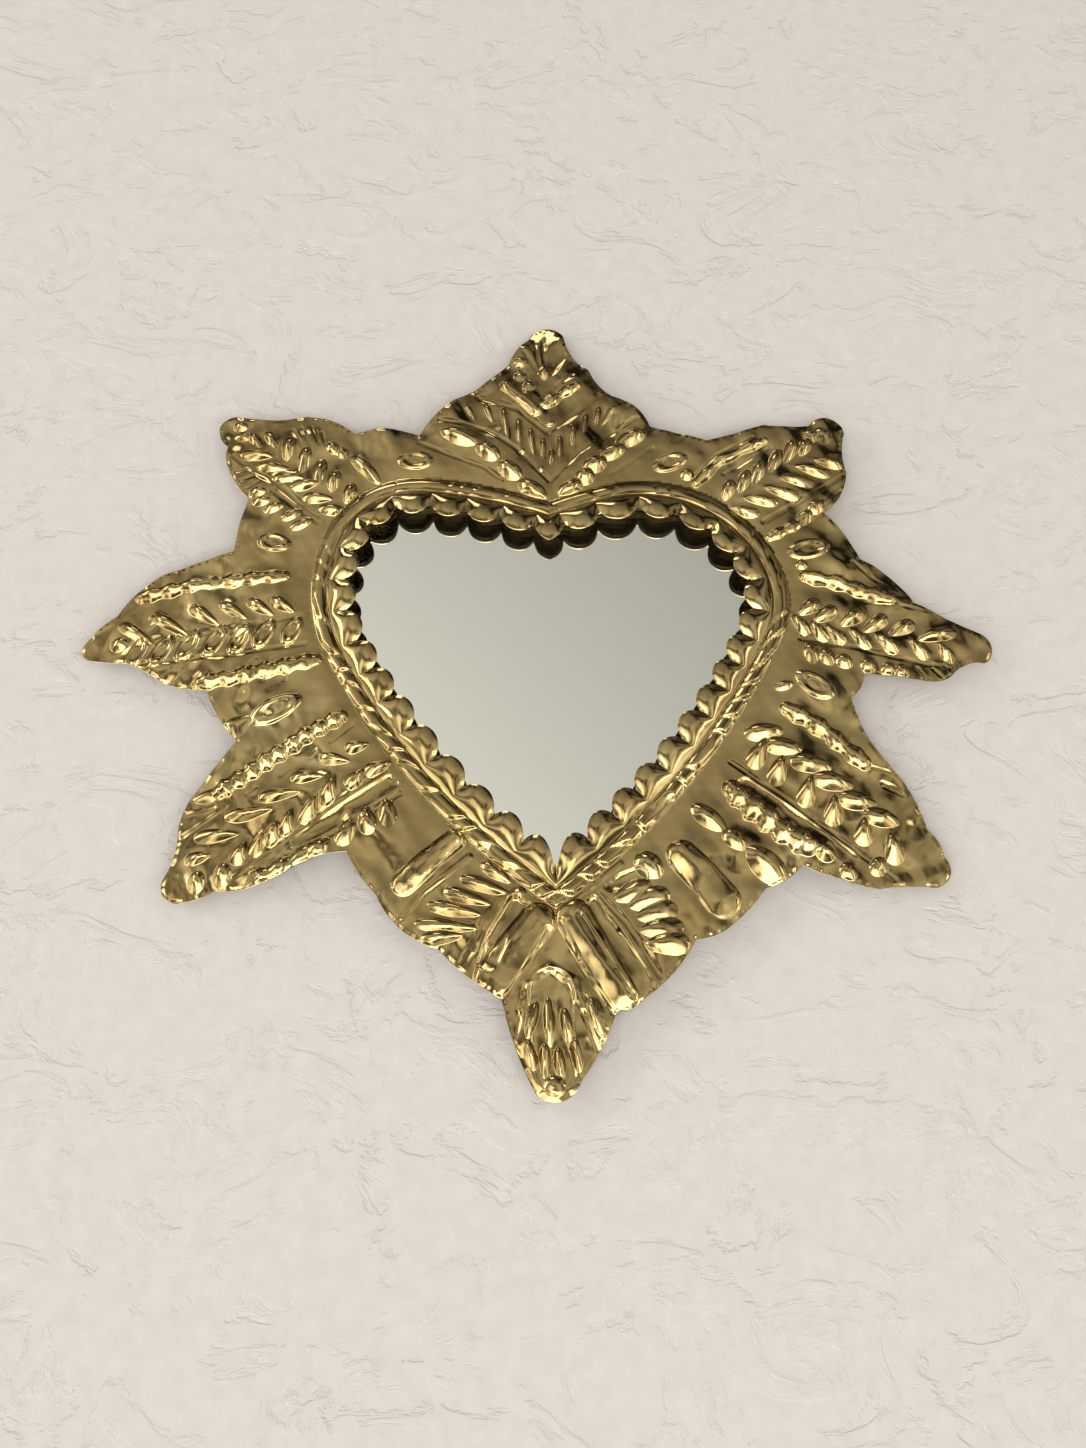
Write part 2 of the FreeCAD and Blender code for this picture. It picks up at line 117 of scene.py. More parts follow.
# The embossed figures: the wall round a figure's gently rounded middle, how much wider and higher than
# traced each kind is, how much higher its upper side is than its lower side, its bead swells, an eye's
# dimple, the soft skirt round it, and how neighbours join
WALL_WIDTH = 1.6 * MM
WALL_SHARE = 0.55
PLATEAU_SHARE = 0.3
DOME_WIDENING = 1.45
DOME_HEIGHTENING = 1.5
CREASE_WIDENING = 1.7
CREASE_HEIGHTENING = 0.65
STROKE_SCALES = {
    "dome": (DOME_WIDENING, DOME_HEIGHTENING),
    "crease": (CREASE_WIDENING, CREASE_HEIGHTENING),
    "ridge": (CREASE_WIDENING, CREASE_HEIGHTENING),
}
OVAL_WIDENING = 1.75
OVAL_HEIGHTENING = 1.7
OVAL_POWER = 0.9
LEAN = 0.5
FOLD_POWER = 1.3
STROKE_TAPER = 0.3
STROKE_MARGIN = 1.3
FIGURE_REACHES = (CREASE_REACH - 0.5 * MM, CREASE_REACH + 1.5 * MM)
BEAD_SWELL = 0.14
EYE_DIMPLE = 0.75
EYE_DIMPLE_SHARE = 0.6
JOIN_POWER = 4
SKIRT_SHARE = 0.18
SKIRT_SPREAD = 2.3

# Sunken figures end where the tray's flange lies behind the sheet
FLANGE_REACH = 18.5 * MM
FLANGE_FADE = 3.0 * MM

# The turned-down lip along the outline
LIP_DROP = 0.35 * MM
LIP_WIDTH = 1.4 * MM

# The glass: the y behind which it is painted, the height where its silver is seen through it, the silver's
# reach, and the sheen, which grows as the view gets more slanting
PAINT_Y = -5.1 * MM
SILVER_HEIGHT = 6.2 * MM
SILVER_REACH = 4.3 * MM
SILVER_STEPS = 24
SHEEN_POWER = 5
SHEEN_LEAST = 0.04

# The mesh: spacings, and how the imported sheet's outline is read (decimals kept, and the y below which a
# normal faces the front)
COLUMN_STEP = 0.7 * MM
FIELD_STEP = 1.4 * MM
LOOP_STEP = 0.85 * MM
LOOP_INSETS = (-0.1 * MM, 0.45 * MM, 1.0 * MM)
OVAL_INSETS = (1.8 * MM, 2.7 * MM, 3.7 * MM)
LOOP_THINNING = 0.3 * MM
BACK_STEP = 2.4 * MM
BACK_SEARCH = 1.2 * MM
NORMAL_STEP = 0.1 * MM
MERGE_DISTANCE = 0.002 * MM
TRIANGLE_SLACK = 1e-7
OUTLINE_DIGITS = 6
FRONT_NORMAL_Y = -0.2
SCALLOP_ROWS = 12
GUIDE_CLEARANCE_SHARE = 0.6
END_SHIFT_POWER = 6
RIM_REACHES = [r * MM for r in (
    0.0, 0.6, 1.3, 2.1, 3.0, 3.9, 4.8, 5.6, 6.2, 6.6, 6.9, 7.2, 7.7, 8.4, 9.2, 10.0, 10.8, 11.6, 12.4, 13.1,
    13.6, 14.0)]

# A seed shifts a noise by itself along x and by this many times itself along y
NOISE_SKEW = 1.7

# Depths of the fine surface relief
SCRATCH_DEPTH = 0.02 * MM
DRAWN_DEPTH = 0.03 * MM
CAST_DEPTH = 0.1 * MM
FIBRE_DEPTH = 0.2 * MM
FUZZ_DEPTH = 0.8 * MM
TROWEL_DEPTH = 0.9 * MM

# Colours, and the roughness of the sheet's back
BRASS_DARK = (0.30, 0.215, 0.095)
BRASS_MIDDLE = (0.40, 0.30, 0.135)
BRASS_LIGHT = (0.50, 0.39, 0.19)
BRASS_SPECK = (0.02, 0.014, 0.008)
BRASS_BACK = (0.055, 0.041, 0.02)
BACK_ROUGHNESS = 0.5
STRAP_BRASS = (0.66, 0.52, 0.25)
STEEL = (0.55, 0.55, 0.55)
TIN = (0.62, 0.62, 0.60)
SOLDER = (0.66, 0.67, 0.68)
SHADE = 0.7
CARD_DARK = (0.40, 0.31, 0.21)
CARD_LIGHT = (0.57, 0.45, 0.32)
FELT_DARK = (0.018, 0.018, 0.017)
FELT_LIGHT = (0.06, 0.06, 0.056)
SILVER = (0.86, 0.87, 0.86)
GLASS_TINT = (0.985, 0.99, 0.985)
PAINTED_BACK = (0.16, 0.13, 0.11)
PAINTED_DARK = (0.10, 0.08, 0.07)
WALL_DARK = (0.50, 0.47, 0.478)
WALL_LIGHT = (0.565, 0.548, 0.56)
BACKDROP = (0.80, 0.77, 0.73)

# The room: its brightness by how far up a direction points, lighter on the left than on the right, and soft
# patches away from what the glass shows
ROOM_TINT = (1.0, 0.955, 0.82)
ROOM_SIDE_WIDTH = 0.18
ROOM_SIDE_LEVELS = (1.24, 0.74)
ROOM_TONES = [(-1.0, 1.4), (-0.5, 3.1), (-0.15, 1.5), (0.1, 0.98), (0.29, 0.76), (0.51, 0.55), (0.75, 0.3),
              (1.0, 0.25)]
ROOM_PATCH_SCALE = 2.6
ROOM_PATCH_TONES = [(0.38, 0.08), (0.62, 1.25)]
CALM_DIRECTION = (0.0, -0.92, 0.39)
CALM_RADII = (0.22, 0.5)

# The stage: the wall, and the lamps as (place, size, watts, tint)
WALL_HALF_WIDTH = 2.5
WALL_TOP = 2.2
WALL_GAP = 0.2 * MM
WALL_FOOT = -1.3
LAMPS = {
    "low_front": ((0.1, -1.5, -1.1), (1.7, 0.7), 13.0, (1.0, 0.96, 0.86)),
    "left_window": ((-1.5, -1.0, 0.25), (0.4, 1.2), 6.0, (1.0, 0.98, 0.94)),
    "right_window": ((1.45, -1.1, -0.2), (0.25, 0.9), 2.0, (1.0, 0.96, 0.9)),
    "overhead": ((-0.5, -1.0, 1.9), (0.7, 0.5), 4.0, (1.0, 0.97, 0.92)),
}

# Middles of the scallops' domes as seen in the photograph, from the cusp to the heart's point, in pixels
SCALLOP_PIXELS = {
    "left": [
        (516.6, 520.7), (483, 508), (448, 504), (413, 505), (380.5, 515), (359.5, 536), (349.6, 564),
        (345, 592), (350.6, 625), (364.6, 653), (382.5, 678.6), (403, 707), (427, 736), (453.5, 766.6),
        (481, 797.6), (509.7, 827), (536, 855),
    ],
    "right": [
        (580.7, 523.5), (621.4, 512), (657.9, 511), (693, 520.7), (723.8, 541.7), (743.5, 565.6),
        (754, 594), (751, 621), (742, 648), (728, 672), (712, 698), (693, 724.5), (672.8, 750),
        (649, 779), (627, 803), (604, 827), (572, 849),
    ],
}
SCALLOP_SIGHT_HEIGHT = 16 * MM
SIGHT_ROUNDS = 3
PIXEL = 0.44 * MM

# Embossed figures of the leaves. Each group has a profile, the half widths in pixels at the two ends, the
# height in millimetres (below zero is pressed in), the number of beads along a rib, and the figures' middle
# lines through pixels of the photograph.
TRACED_FIGURES = {
    "left_leaf": [
        ("dome", 5.5, 5.5, 1.7, 7, [[(141, 598), (212, 583), (284, 576)]]),
        ("dome", 5.5, 2.0, 1.5, 0, [
            [(122, 626), (151, 643)], [(155, 617), (186, 634)], [(193, 609), (217, 624)],
            [(223, 605), (245, 618)], [(250, 602), (271, 614)], [(274, 601), (292, 611)]]),
        ("eye", 6.0, 5.0, 1.5, 0, [
            [(128, 667), (145, 640)], [(153, 664), (170, 639)], [(179, 658), (197, 633)],
            [(206, 654), (223, 629)], [(232, 651), (248, 628)], [(257, 645), (271, 623)],
            [(286, 641), (298, 621)]]),
        ("crease", 3.5, 2.5, -0.6, 0, [[(150, 641), (226, 629), (302, 615)]]),
        ("crease", 2.5, 2.5, -0.7, 0, [[(129, 666), (218, 656), (307, 643)]]),
        ("dome", 6.0, 6.0, 1.5, 6, [[(199, 684), (240, 676), (278, 668), (315, 660)]]),
        ("crease", 3.0, 2.0, -0.6, 0, [
            [(150, 682), (170, 669)], [(163, 686), (182, 670)], [(182, 689), (199, 674)],
            [(246, 682), (256, 660)], [(262, 680), (270, 659)], [(284, 678), (291, 659)]]),
        ("dome", 5.0, 4.0, 0.9, 0, [[(114, 647), (124, 643)]]),
        ("eye", 7.5, 7.0, 1.5, 0, [[(256, 719), (296, 700)]]),
        ("dome", 8.0, 4.0, 0.9, 0, [[(229, 731), (247, 720)]]),
    ],
    "lower_left_leaf": [
        ("dome", 6.0, 6.5, 2.0, 9, [[(341, 717), (308, 735), (279, 754), (250, 773), (219, 793)]]),
        ("dome", 5.0, 3.0, 0.8, 0, [[(215, 795), (197, 800)]]),
        ("dome", 5.5, 2.0, 1.4, 0, [
            [(348, 749), (366, 745)], [(322, 758), (347, 761)], [(294, 778), (321, 776)],
            [(262, 799), (297, 792)], [(228, 818), (270, 810)], [(197, 838), (236, 834)],
            [(188, 861), (208, 856)]]),
        ("dome", 6.5, 2.0, 1.5, 0, [
            [(368, 772), (388, 764)], [(350, 786), (362, 772)], [(325, 802), (334, 778)],
            [(304, 820), (314, 800)], [(284, 832), (291, 812)], [(268, 843), (276, 824)],
            [(253, 853), (263, 834)], [(235, 862), (244, 845)]]),
        ("crease", 2.0, 2.0, -0.5, 0, [[(359, 720), (331, 742)], [(316, 750), (309, 757)],
                                       [(289, 768), (280, 776)], [(256, 787), (247, 795)]]),
        ("channel", 9.0, 9.0, -1.0, 0, [[(392, 781), (345, 810), (300, 841)]]),
        ("crease", 2.5, 2.5, -0.8, 0, [[(390, 767), (335, 802), (290, 835), (229, 880)]]),
        ("crease", 2.5, 2.5, -0.8, 0, [[(400, 793), (345, 828), (290, 850), (236, 890)]]),
        ("dome", 4.5, 6.0, 1.3, 0, [
            [(386, 804), (389, 823)], [(366, 812), (368, 830)], [(350, 824), (341, 842)],
            [(325, 842), (308, 858)], [(306, 850), (288, 874)], [(286, 862), (268, 880)],
            [(267, 872), (250, 886)]]),
        ("dome", 5.0, 5.0, 1.0, 0, [[(195, 890), (198, 876)], [(221, 884), (224, 868)]]),
        ("crease", 2.0, 2.0, -0.5, 0, [[(186, 815), (214, 807)], [(183, 836), (226, 807)]]),
    ],
    "upper_left_leaf": [
        ("crease", 3.0, 3.0, -0.9, 0, [[(235, 457), (262, 475), (290, 494), (316, 516)]]),
        ("channel", 5.0, 4.0, -0.5, 0, [[(274, 492), (318, 523)]]),
        ("dome", 5.5, 2.5, 1.4, 0, [
            [(244, 455), (270, 456)], [(260, 466), (286, 468)], [(277, 478), (301, 478)],
            [(294, 487), (316, 484)], [(306, 498), (330, 499)], [(322, 509), (348, 511)]]),
        ("dome", 5.0, 3.5, 1.4, 0, [
            [(291, 440), (287, 458)], [(307, 451), (302, 470)], [(322, 462), (318, 482)],
            [(336, 474), (332, 490)], [(352, 487), (348, 504)]]),
        ("dome", 4.0, 3.0, 1.0, 0, [
            [(237, 428), (246, 428)], [(237, 437), (250, 438)], [(252, 436), (260, 446)],
            [(268, 434), (275, 446)]]),
        ("dome", 4.0, 3.0, 1.0, 0, [
            [(252, 493), (264, 492)], [(255, 502), (268, 501)], [(267, 511), (282, 506)],
            [(284, 519), (300, 511)], [(293, 528), (310, 521)]]),
        ("crease", 2.0, 2.0, -0.5, 0, [
            [(293, 430), (303, 448)], [(302, 428), (310, 446)], [(312, 427), (319, 444)],
            [(322, 432), (326, 446)], [(236, 471), (248, 469)], [(240, 480), (254, 475)],
            [(246, 488), (258, 482)]]),
        ("dome", 4.5, 3.5, 0.9, 0, [[(331, 446), (336, 452)], [(340, 451), (345, 456)]]),
        ("dome", 5.0, 4.0, 1.8, 0, [[(354, 458), (378, 482)]]),
        ("eye", 6.5, 6.5, 1.5, 0, [[(403, 461), (428, 461)]]),
        ("eye", 6.5, 6.0, 1.6, 0, [[(263, 542), (286, 544)]]),
    ],
    "top_leaf": [
        ("dome", 3.5, 2.5, 1.3, 0, [[(544.5, 370), (544.5, 379)]]),
        ("crease", 2.5, 2.5, -0.5, 0, [
            [(524, 352), (538, 372)], [(543, 342), (544, 364)], [(566, 354), (552, 374)],
            [(520, 366), (532, 384)], [(572, 376), (556, 386)], [(534, 346), (540, 368)]]),
        ("dome", 4.5, 4.5, 0.8, 0, [[(519, 361), (522, 364)], [(518, 375), (523, 377)],
                                    [(528, 384), (532, 388)]]),
        ("dome", 5.5, 5.0, 1.9, 0, [[(507, 388), (521, 399), (536, 412)]]),
        ("dome", 5.5, 4.0, 1.7, 2, [[(546, 405), (560, 395), (577, 387)]]),
        ("crease", 3.0, 3.0, -0.9, 0, [[(479, 397), (520, 410), (547, 432), (575, 414), (598, 396)]]),
        ("dome", 2.6, 1.4, 1.0, 0, [
            [(466, 405), (474, 418)], [(485, 404), (493, 422)], [(503, 409), (508, 438)],
            [(518, 419), (520, 444)], [(530, 429), (534, 454)], [(543, 439), (543, 458)],
            [(552, 450), (551, 464)], [(614, 407), (602, 424)], [(599, 408), (596, 424)],
            [(586, 415), (584, 432)], [(573, 425), (573, 447)], [(560, 437), (560, 457)]]),
        ("dome", 2.6, 2.6, 0.6, 0, [[(522, 451), (522.5, 451)], [(540.5, 469), (541, 469)],
                                    [(550, 424), (550.5, 425)]]),
        ("crease", 2.5, 2.5, -0.8, 0, [
            [(440, 420), (462, 423), (487, 430), (516, 448), (550, 481), (579, 452), (636, 418)]]),
        ("dome", 6.0, 6.0, 1.9, 0, [
            [(446, 433), (474, 442)], [(481, 448), (495, 457)], [(503, 466), (517, 476)],
            [(523, 484), (542, 497)]]),
        ("dome", 6.0, 5.5, 1.8, 0, [
            [(620, 444), (641, 434)], [(603, 457), (621, 448)], [(588, 469), (602, 462)],
            [(581, 480), (589, 475)], [(563, 494), (578, 484)]]),
        ("crease", 2.5, 2.5, -0.6, 0, [
            [(420, 443), (485, 467), (530, 500), (552, 513), (600, 482), (652, 448)]]),
    ],
    "upper_right_leaf": [
        ("eye", 6.5, 6.0, 1.6, 0, [[(658, 467), (682, 459)]]),
        ("dome", 4.5, 4.0, 1.1, 0, [[(684, 474), (690, 477)]]),
        ("dome", 4.5, 4.0, 1.6, 3, [[(696, 484), (720, 461), (764, 441)]]),
        ("crease", 2.0, 2.0, -0.6, 0, [[(692, 478), (716, 455), (752, 437)], [(724, 474), (770, 447)]]),
        ("dome", 5.0, 3.0, 1.4, 0, [
            [(731, 483), (725, 499)], [(747, 473), (740, 491)], [(762, 464), (754, 482)],
            [(779, 452), (771, 470)], [(794, 443), (786, 460)], [(808, 442), (801, 454)]]),
        ("dome", 5.5, 2.0, 1.5, 0, [
            [(757, 514), (728, 509)], [(775, 503), (746, 499)], [(796, 497), (767, 489)],
            [(812, 484), (782, 479)], [(828, 475), (798, 467)], [(840, 467), (817, 461)]]),
        ("dome", 5.0, 5.0, 1.0, 0, [[(818, 432), (826, 440)], [(808, 438), (814, 434)]]),
        ("crease", 3.0, 2.5, -0.8, 0, [[(760, 524), (797, 503), (843, 476)]]),
        ("dome", 5.0, 4.5, 1.1, 0, [[(813, 511), (819, 504)], [(801, 521), (808, 514)]]),
        ("eye", 6.0, 6.5, 1.5, 2, [[(770, 538), (800, 523)]]),
        ("crease", 2.0, 2.0, -0.4, 0, [
            [(824, 500), (840, 491)], [(828, 494), (843, 485)], [(820, 508), (834, 500)]]),
    ],
    "right_leaf": [
        ("eye", 7.0, 7.0, 1.6, 0, [[(793, 552), (824, 546)]]),
        ("dome", 4.0, 3.5, 0.9, 0, [[(799, 564), (804, 567)]]),
        ("dome", 5.5, 6.5, 1.9, 4, [[(805, 577), (835, 583), (860, 591), (888, 599)]]),
        ("dome", 6.0, 3.0, 1.4, 0, [
            [(816, 603), (802, 613)], [(833, 610), (817, 620)], [(861, 613), (844, 624)],
            [(884, 618), (866, 630)], [(911, 624), (892, 634)], [(953, 632), (921, 639)]]),
        ("dome", 5.5, 2.5, 1.5, 0, [
            [(807, 632), (794, 618)], [(826, 638), (812, 624)], [(843, 641), (828, 628)],
            [(868, 646), (852, 632)], [(895, 651), (878, 637)], [(926, 656), (911, 642)],
            [(952, 660), (939, 646)]]),
        ("crease", 2.5, 2.5, -0.7, 0, [[(801, 638), (857, 648), (899, 658), (953, 669)]]),
        ("dome", 5.0, 4.5, 1.2, 0, [
            [(810, 647), (813, 660)], [(824, 652), (830, 662)], [(840, 659), (848, 665)],
            [(864, 665), (872, 667)], [(885, 669), (891, 671)], [(899, 671), (905, 673)]]),
        ("crease", 2.0, 2.0, -0.6, 0, [
            [(918, 668), (926, 678)], [(933, 668), (943, 679)], [(944, 665), (950, 671)]]),
        ("crease", 2.0, 2.0, -0.4, 0, [
            [(852, 562), (872, 578), (896, 592)], [(866, 602), (900, 606), (930, 612)]]),
    ],
    "lower_right_leaf": [
        ("eye", 6.5, 7.0, 1.6, 0, [[(801, 676), (828, 694)]]),
        ("dome", 3.5, 3.0, 0.8, 0, [[(777, 688), (791, 684)]]),
        ("dome", 6.5, 6.5, 2.0, 4, [[(787, 709), (812, 722), (834, 739), (864, 763)]]),
        ("dome", 6.5, 5.0, 1.6, 0, [
            [(749, 734), (778, 731)], [(769, 745), (797, 749)], [(795, 762), (826, 768)],
            [(817, 780), (848, 785)], [(843, 799), (871, 804)], [(868, 815), (894, 822)]]),
        ("dome", 7.5, 2.5, 1.6, 0, [
            [(753, 765), (764, 742)], [(775, 781), (781, 760)], [(804, 803), (810, 780)],
            [(833, 822), (834, 800)], [(863, 842), (864, 822)], [(896, 861), (890, 838)]]),
        ("crease", 2.5, 2.5, -0.8, 0, [[(731, 762), (780, 795), (830, 831), (895, 880)]]),
        ("channel", 9.0, 8.0, -1.0, 0, [[(745, 785), (800, 822), (850, 858)]]),
        ("dome", 8.5, 8.5, 2.1, 5, [[(732, 790), (754, 810), (783, 832), (808, 846)]]),
        ("dome", 5.5, 4.5, 1.2, 0, [[(822, 850), (830, 857)], [(845, 868), (852, 876)],
                                    [(875, 872), (882, 862)]]),
        ("dome", 6.5, 5.0, 1.5, 0, [[(696, 809), (722, 828)], [(728, 834), (742, 846)]]),
        ("dome", 7.5, 9.0, 1.8, 0, [[(753, 854), (780, 878)]]),
        ("crease", 2.0, 2.0, -0.6, 0, [
            [(870, 766), (890, 773)], [(882, 782), (900, 789)], [(884, 786), (903, 795)]]),
    ],
    "bottom_right": [
        ("dome", 11.0, 13.0, 1.8, 0, [[(682, 856), (704, 878), (722, 900)]]),
        ("dome", 8.0, 6.5, 1.5, 0, [[(642, 860), (656, 872)]]),
        ("channel", 9.0, 11.0, -1.3, 0, [[(612, 884), (638, 877)]]),
        ("dome", 4.5, 8.0, 1.3, 0, [
            [(620, 898), (646, 886)], [(634, 905), (664, 895)], [(642, 916), (672, 910)],
            [(646, 930), (678, 928)], [(652, 944), (684, 944)]]),
        ("crease", 3.0, 3.0, -0.9, 0, [[(596, 892), (625, 921), (646, 950), (660, 976)]]),
        ("channel", 12.0, 12.0, -1.6, 0, [[(590, 905), (618, 945), (644, 985)]]),
        ("dome", 13.0, 12.0, 2.0, 0, [[(574, 918), (594, 952), (620, 996)]]),
        ("crease", 5.0, 4.0, -2.0, 0, [[(582, 917), (604, 952), (622, 976), (634, 994)]]),
        ("crease", 2.5, 2.5, -0.8, 0, [[(557, 912), (580, 962), (616, 1015)]]),
        ("ridge", 3.0, 3.0, 1.4, 0, [[(556, 911), (590, 888), (620, 864)]]),
    ],
    "bottom_left": [
        ("dome", 8.0, 9.0, 1.9, 0, [[(455, 840), (430, 860), (404, 884)]]),
        ("ridge", 3.0, 2.5, 1.2, 0, [[(469, 857), (446, 875), (424, 891), (402, 918)]]),
        ("dome", 5.5, 2.5, 1.4, 0, [
            [(484, 865), (508, 881)], [(463, 879), (508, 894)], [(447, 892), (488, 904)],
            [(430, 905), (478, 915)], [(418, 924), (475, 929)], [(424, 940), (459, 936)]]),
        ("ridge", 4.0, 4.0, 1.5, 0, [[(520, 892), (502, 898), (481, 926), (473, 948), (459, 967)]]),
        ("channel", 14.0, 11.0, -1.9, 0, [[(520, 906), (499, 936), (488, 962)]]),
        ("dome", 13.0, 13.0, 1.9, 0, [[(537, 922), (514, 950), (493, 978)]]),
        ("crease", 3.0, 3.0, -1.0, 0, [[(549, 930), (530, 962), (507, 997)]]),
    ],
    "bottom_leaf": [
        ("channel", 22.0, 20.0, -1.8, 0, [[(551, 990), (553, 1040), (556, 1070)]]),
        ("ridge", 4.0, 4.0, 1.4, 0, [[(522, 1010), (528, 984), (549, 966), (571, 980), (584, 1008)]]),
        ("dome", 3.5, 3.0, 1.4, 0, [
            [(548, 1000), (550, 1044)], [(536, 1004), (528, 1036)], [(564, 1010), (570, 1044)],
            [(545, 1046), (545, 1076)], [(558, 1050), (562, 1078)], [(574, 1040), (580, 1070)],
            [(590, 1000), (602, 1034)], [(528, 1044), (534, 1068)]]),
        ("crease", 2.5, 2.0, -0.9, 0, [
            [(586, 996), (606, 1030)], [(583, 1012), (598, 1050)], [(520, 1012), (514, 1046)],
            [(540, 1060), (542, 1082)], [(569, 1050), (576, 1080)], [(552, 1050), (553, 1082)]]),
        ("dome", 6.0, 6.0, 0.9, 0, [[(550, 1086), (560, 1086)]]),
    ],
}


def unit(angle):
    """Unit vectors in the wall's plane at angles in degrees."""
    turn = np.radians(angle)
    return np.stack([np.cos(turn), np.sin(turn)], axis=-1)


def camera_axes():
    """The camera's right, up and forward directions."""
    look = Vector((0, math.cos(CAMERA_TILT), math.sin(CAMERA_TILT)))
    level = Vector((1, 0, 0))
    rise = level.cross(look)
    right = level * math.cos(CAMERA_ROLL) + rise * math.sin(CAMERA_ROLL)
    up = rise * math.cos(CAMERA_ROLL) - level * math.sin(CAMERA_ROLL)
    return right, up, look


def sighted(pixels, height):
    """Where the sight lines through pixels of the photograph meet a plane at a height, as x and z."""
    right, up, look = (np.array(axis) for axis in camera_axes())
    focal = LENS / SENSOR_HEIGHT * PHOTO_SIZE[1]
    pixels = np.atleast_2d(np.array(pixels, float))
    across = pixels[:, :1] - PHOTO_SIZE[0] / 2
    down = pixels[:, 1:] - PHOTO_SIZE[1] / 2
    rays = look * focal + right * across - up * down
    place = np.array(CAMERA_PLACE)
    run = (-height - place[1]) / rays[:, 1]
    return (place + rays * run[:, None])[:, [0, 2]]


def crest_arcs(side):
    """The four arcs of one side, as (centre, radius, first angle, last angle), drawn on the right."""
    shoulder = SHOULDERS[side]
    radius = shoulder["radius"]
    cusp = np.array((0, CUSP_Z))
    upper_centre = cusp - unit(CUSP_ANGLE) * UPPER_RADIUS
    lower_centre = cusp - np.array((0, HEART_HEIGHT)) - unit(POINT_ANGLE) * LOWER_RADIUS
    centre = upper_centre + unit(shoulder["from"]) * (UPPER_RADIUS - radius)
    joint = unit(shoulder["to"])
    arm = centre + joint * radius - lower_centre
    side_radius = (LOWER_RADIUS ** 2 - arm @ arm) / (2 * (LOWER_RADIUS - arm @ joint))
    side_centre = centre + joint * (radius - side_radius)
    line = side_centre - lower_centre
    last = math.degrees(math.atan2(line[1], line[0]))
    return [
        (upper_centre, UPPER_RADIUS, CUSP_ANGLE, shoulder["from"]),
        (centre, radius, shoulder["from"], shoulder["to"]),
        (side_centre, side_radius, shoulder["to"], last),
        (lower_centre, LOWER_RADIUS, last, POINT_ANGLE),
    ]


ARCS = {side: crest_arcs(side) for side in SIDES}


def middle_angle(arc, reach):
    """The angle where an end arc's offset meets the middle line."""
    angle = np.degrees(np.arccos(-arc[0][0] / (arc[1] + reach)))
    return angle if arc[2] > 0 else -angle


def unrolled(points):
    """For points in the wall's plane: the side (0 left, 1 right), the distance along the crest line from
    the cusp, and the reach outside it."""
    right_side = points[:, 0] > 0
    along = np.zeros(len(points))
    reach = np.full(len(points), FAR)
    for side, sign in SIDES.items():
        here = right_side if sign > 0 else ~right_side
        local = points[here] * (sign, 1)
        best = np.full(len(local), FAR)
        station = np.zeros(len(local))
        passed = 0.0
        arcs = ARCS[side]
        for number, (centre, radius, first, last) in enumerate(arcs):
            arm = local - centre
            angle = np.degrees(np.arctan2(arm[:, 1], arm[:, 0]))
            out = np.hypot(arm[:, 0], arm[:, 1]) - radius
            high = 180 if number == 0 else first
            low = -180 if number == len(arcs) - 1 else last
            in_sector = (angle <= high + ANGLE_SLACK) & (angle >= low - ANGLE_SLACK)
            fits = in_sector & (np.abs(out) < np.abs(best))
            best[fits] = out[fits]
            station[fits] = (passed + np.radians(first - angle) * radius)[fits]
            passed += math.radians(first - last) * radius
        along[here] = station
        reach[here] = best
    return right_side.astype(int), along, reach


def scallop_stations(side):
    """Distances along one side's crest line of its scallops, the one at the cusp first."""
    points = sighted(SCALLOP_PIXELS[side], SCALLOP_SIGHT_HEIGHT)
    return np.concatenate([[0.0], unrolled(points)[1]])


STATIONS = {side: scallop_stations(side) for side in SIDES}


def notches(side):
    """Distances along one side's crest line of the notches between its scallops."""
    stations = STATIONS[side]
    between = (stations[1:] + stations[:-1]) / 2
    return np.concatenate([[-between[0]], between, [2 * stations[-1] - between[-1]]])


NOTCHES = {side: notches(side) for side in SIDES}


def in_scallop(side, along):
    """How far each distance along the crest line is from its scallop's middle, and the half width there."""
    edges = NOTCHES[side]
    number = np.clip(np.searchsorted(edges, along) - 1, 0, len(edges) - 2)
    half = (edges[number + 1] - edges[number]) / 2
    return along - edges[number] - half, half


def free_edge(side, along):
    """Reach of the scallops' free edge, below zero because it lies inside the crest line."""
    offset, half = in_scallop(side, along)
    inset = (half ** 2 - SCALLOP_REACH ** 2) / (2 * SCALLOP_REACH)
    radius = inset + SCALLOP_REACH
    edge = inset - np.sqrt(np.maximum(radius ** 2 - offset ** 2, 0))
    return np.minimum(edge, -NOTCH_REACH)


def smooth(low, high, value):
    """Goes smoothly from 0 at low to 1 at high."""
    share = np.clip((value - low) / (high - low), 0, 1)
    return share * share * (3 - 2 * share)


def roll_height(reach):
    """Height of the roll, a circle through its top and its foot."""
    run, drop = BAND_REACH + ROLL_INSET, ROLL_HEIGHT - FOOT_HEIGHT
    radius = (run ** 2 + drop ** 2) / (2 * drop)
    away = np.clip(reach + ROLL_INSET, -radius, radius)
    return ROLL_HEIGHT - radius + np.sqrt(radius ** 2 - away ** 2)


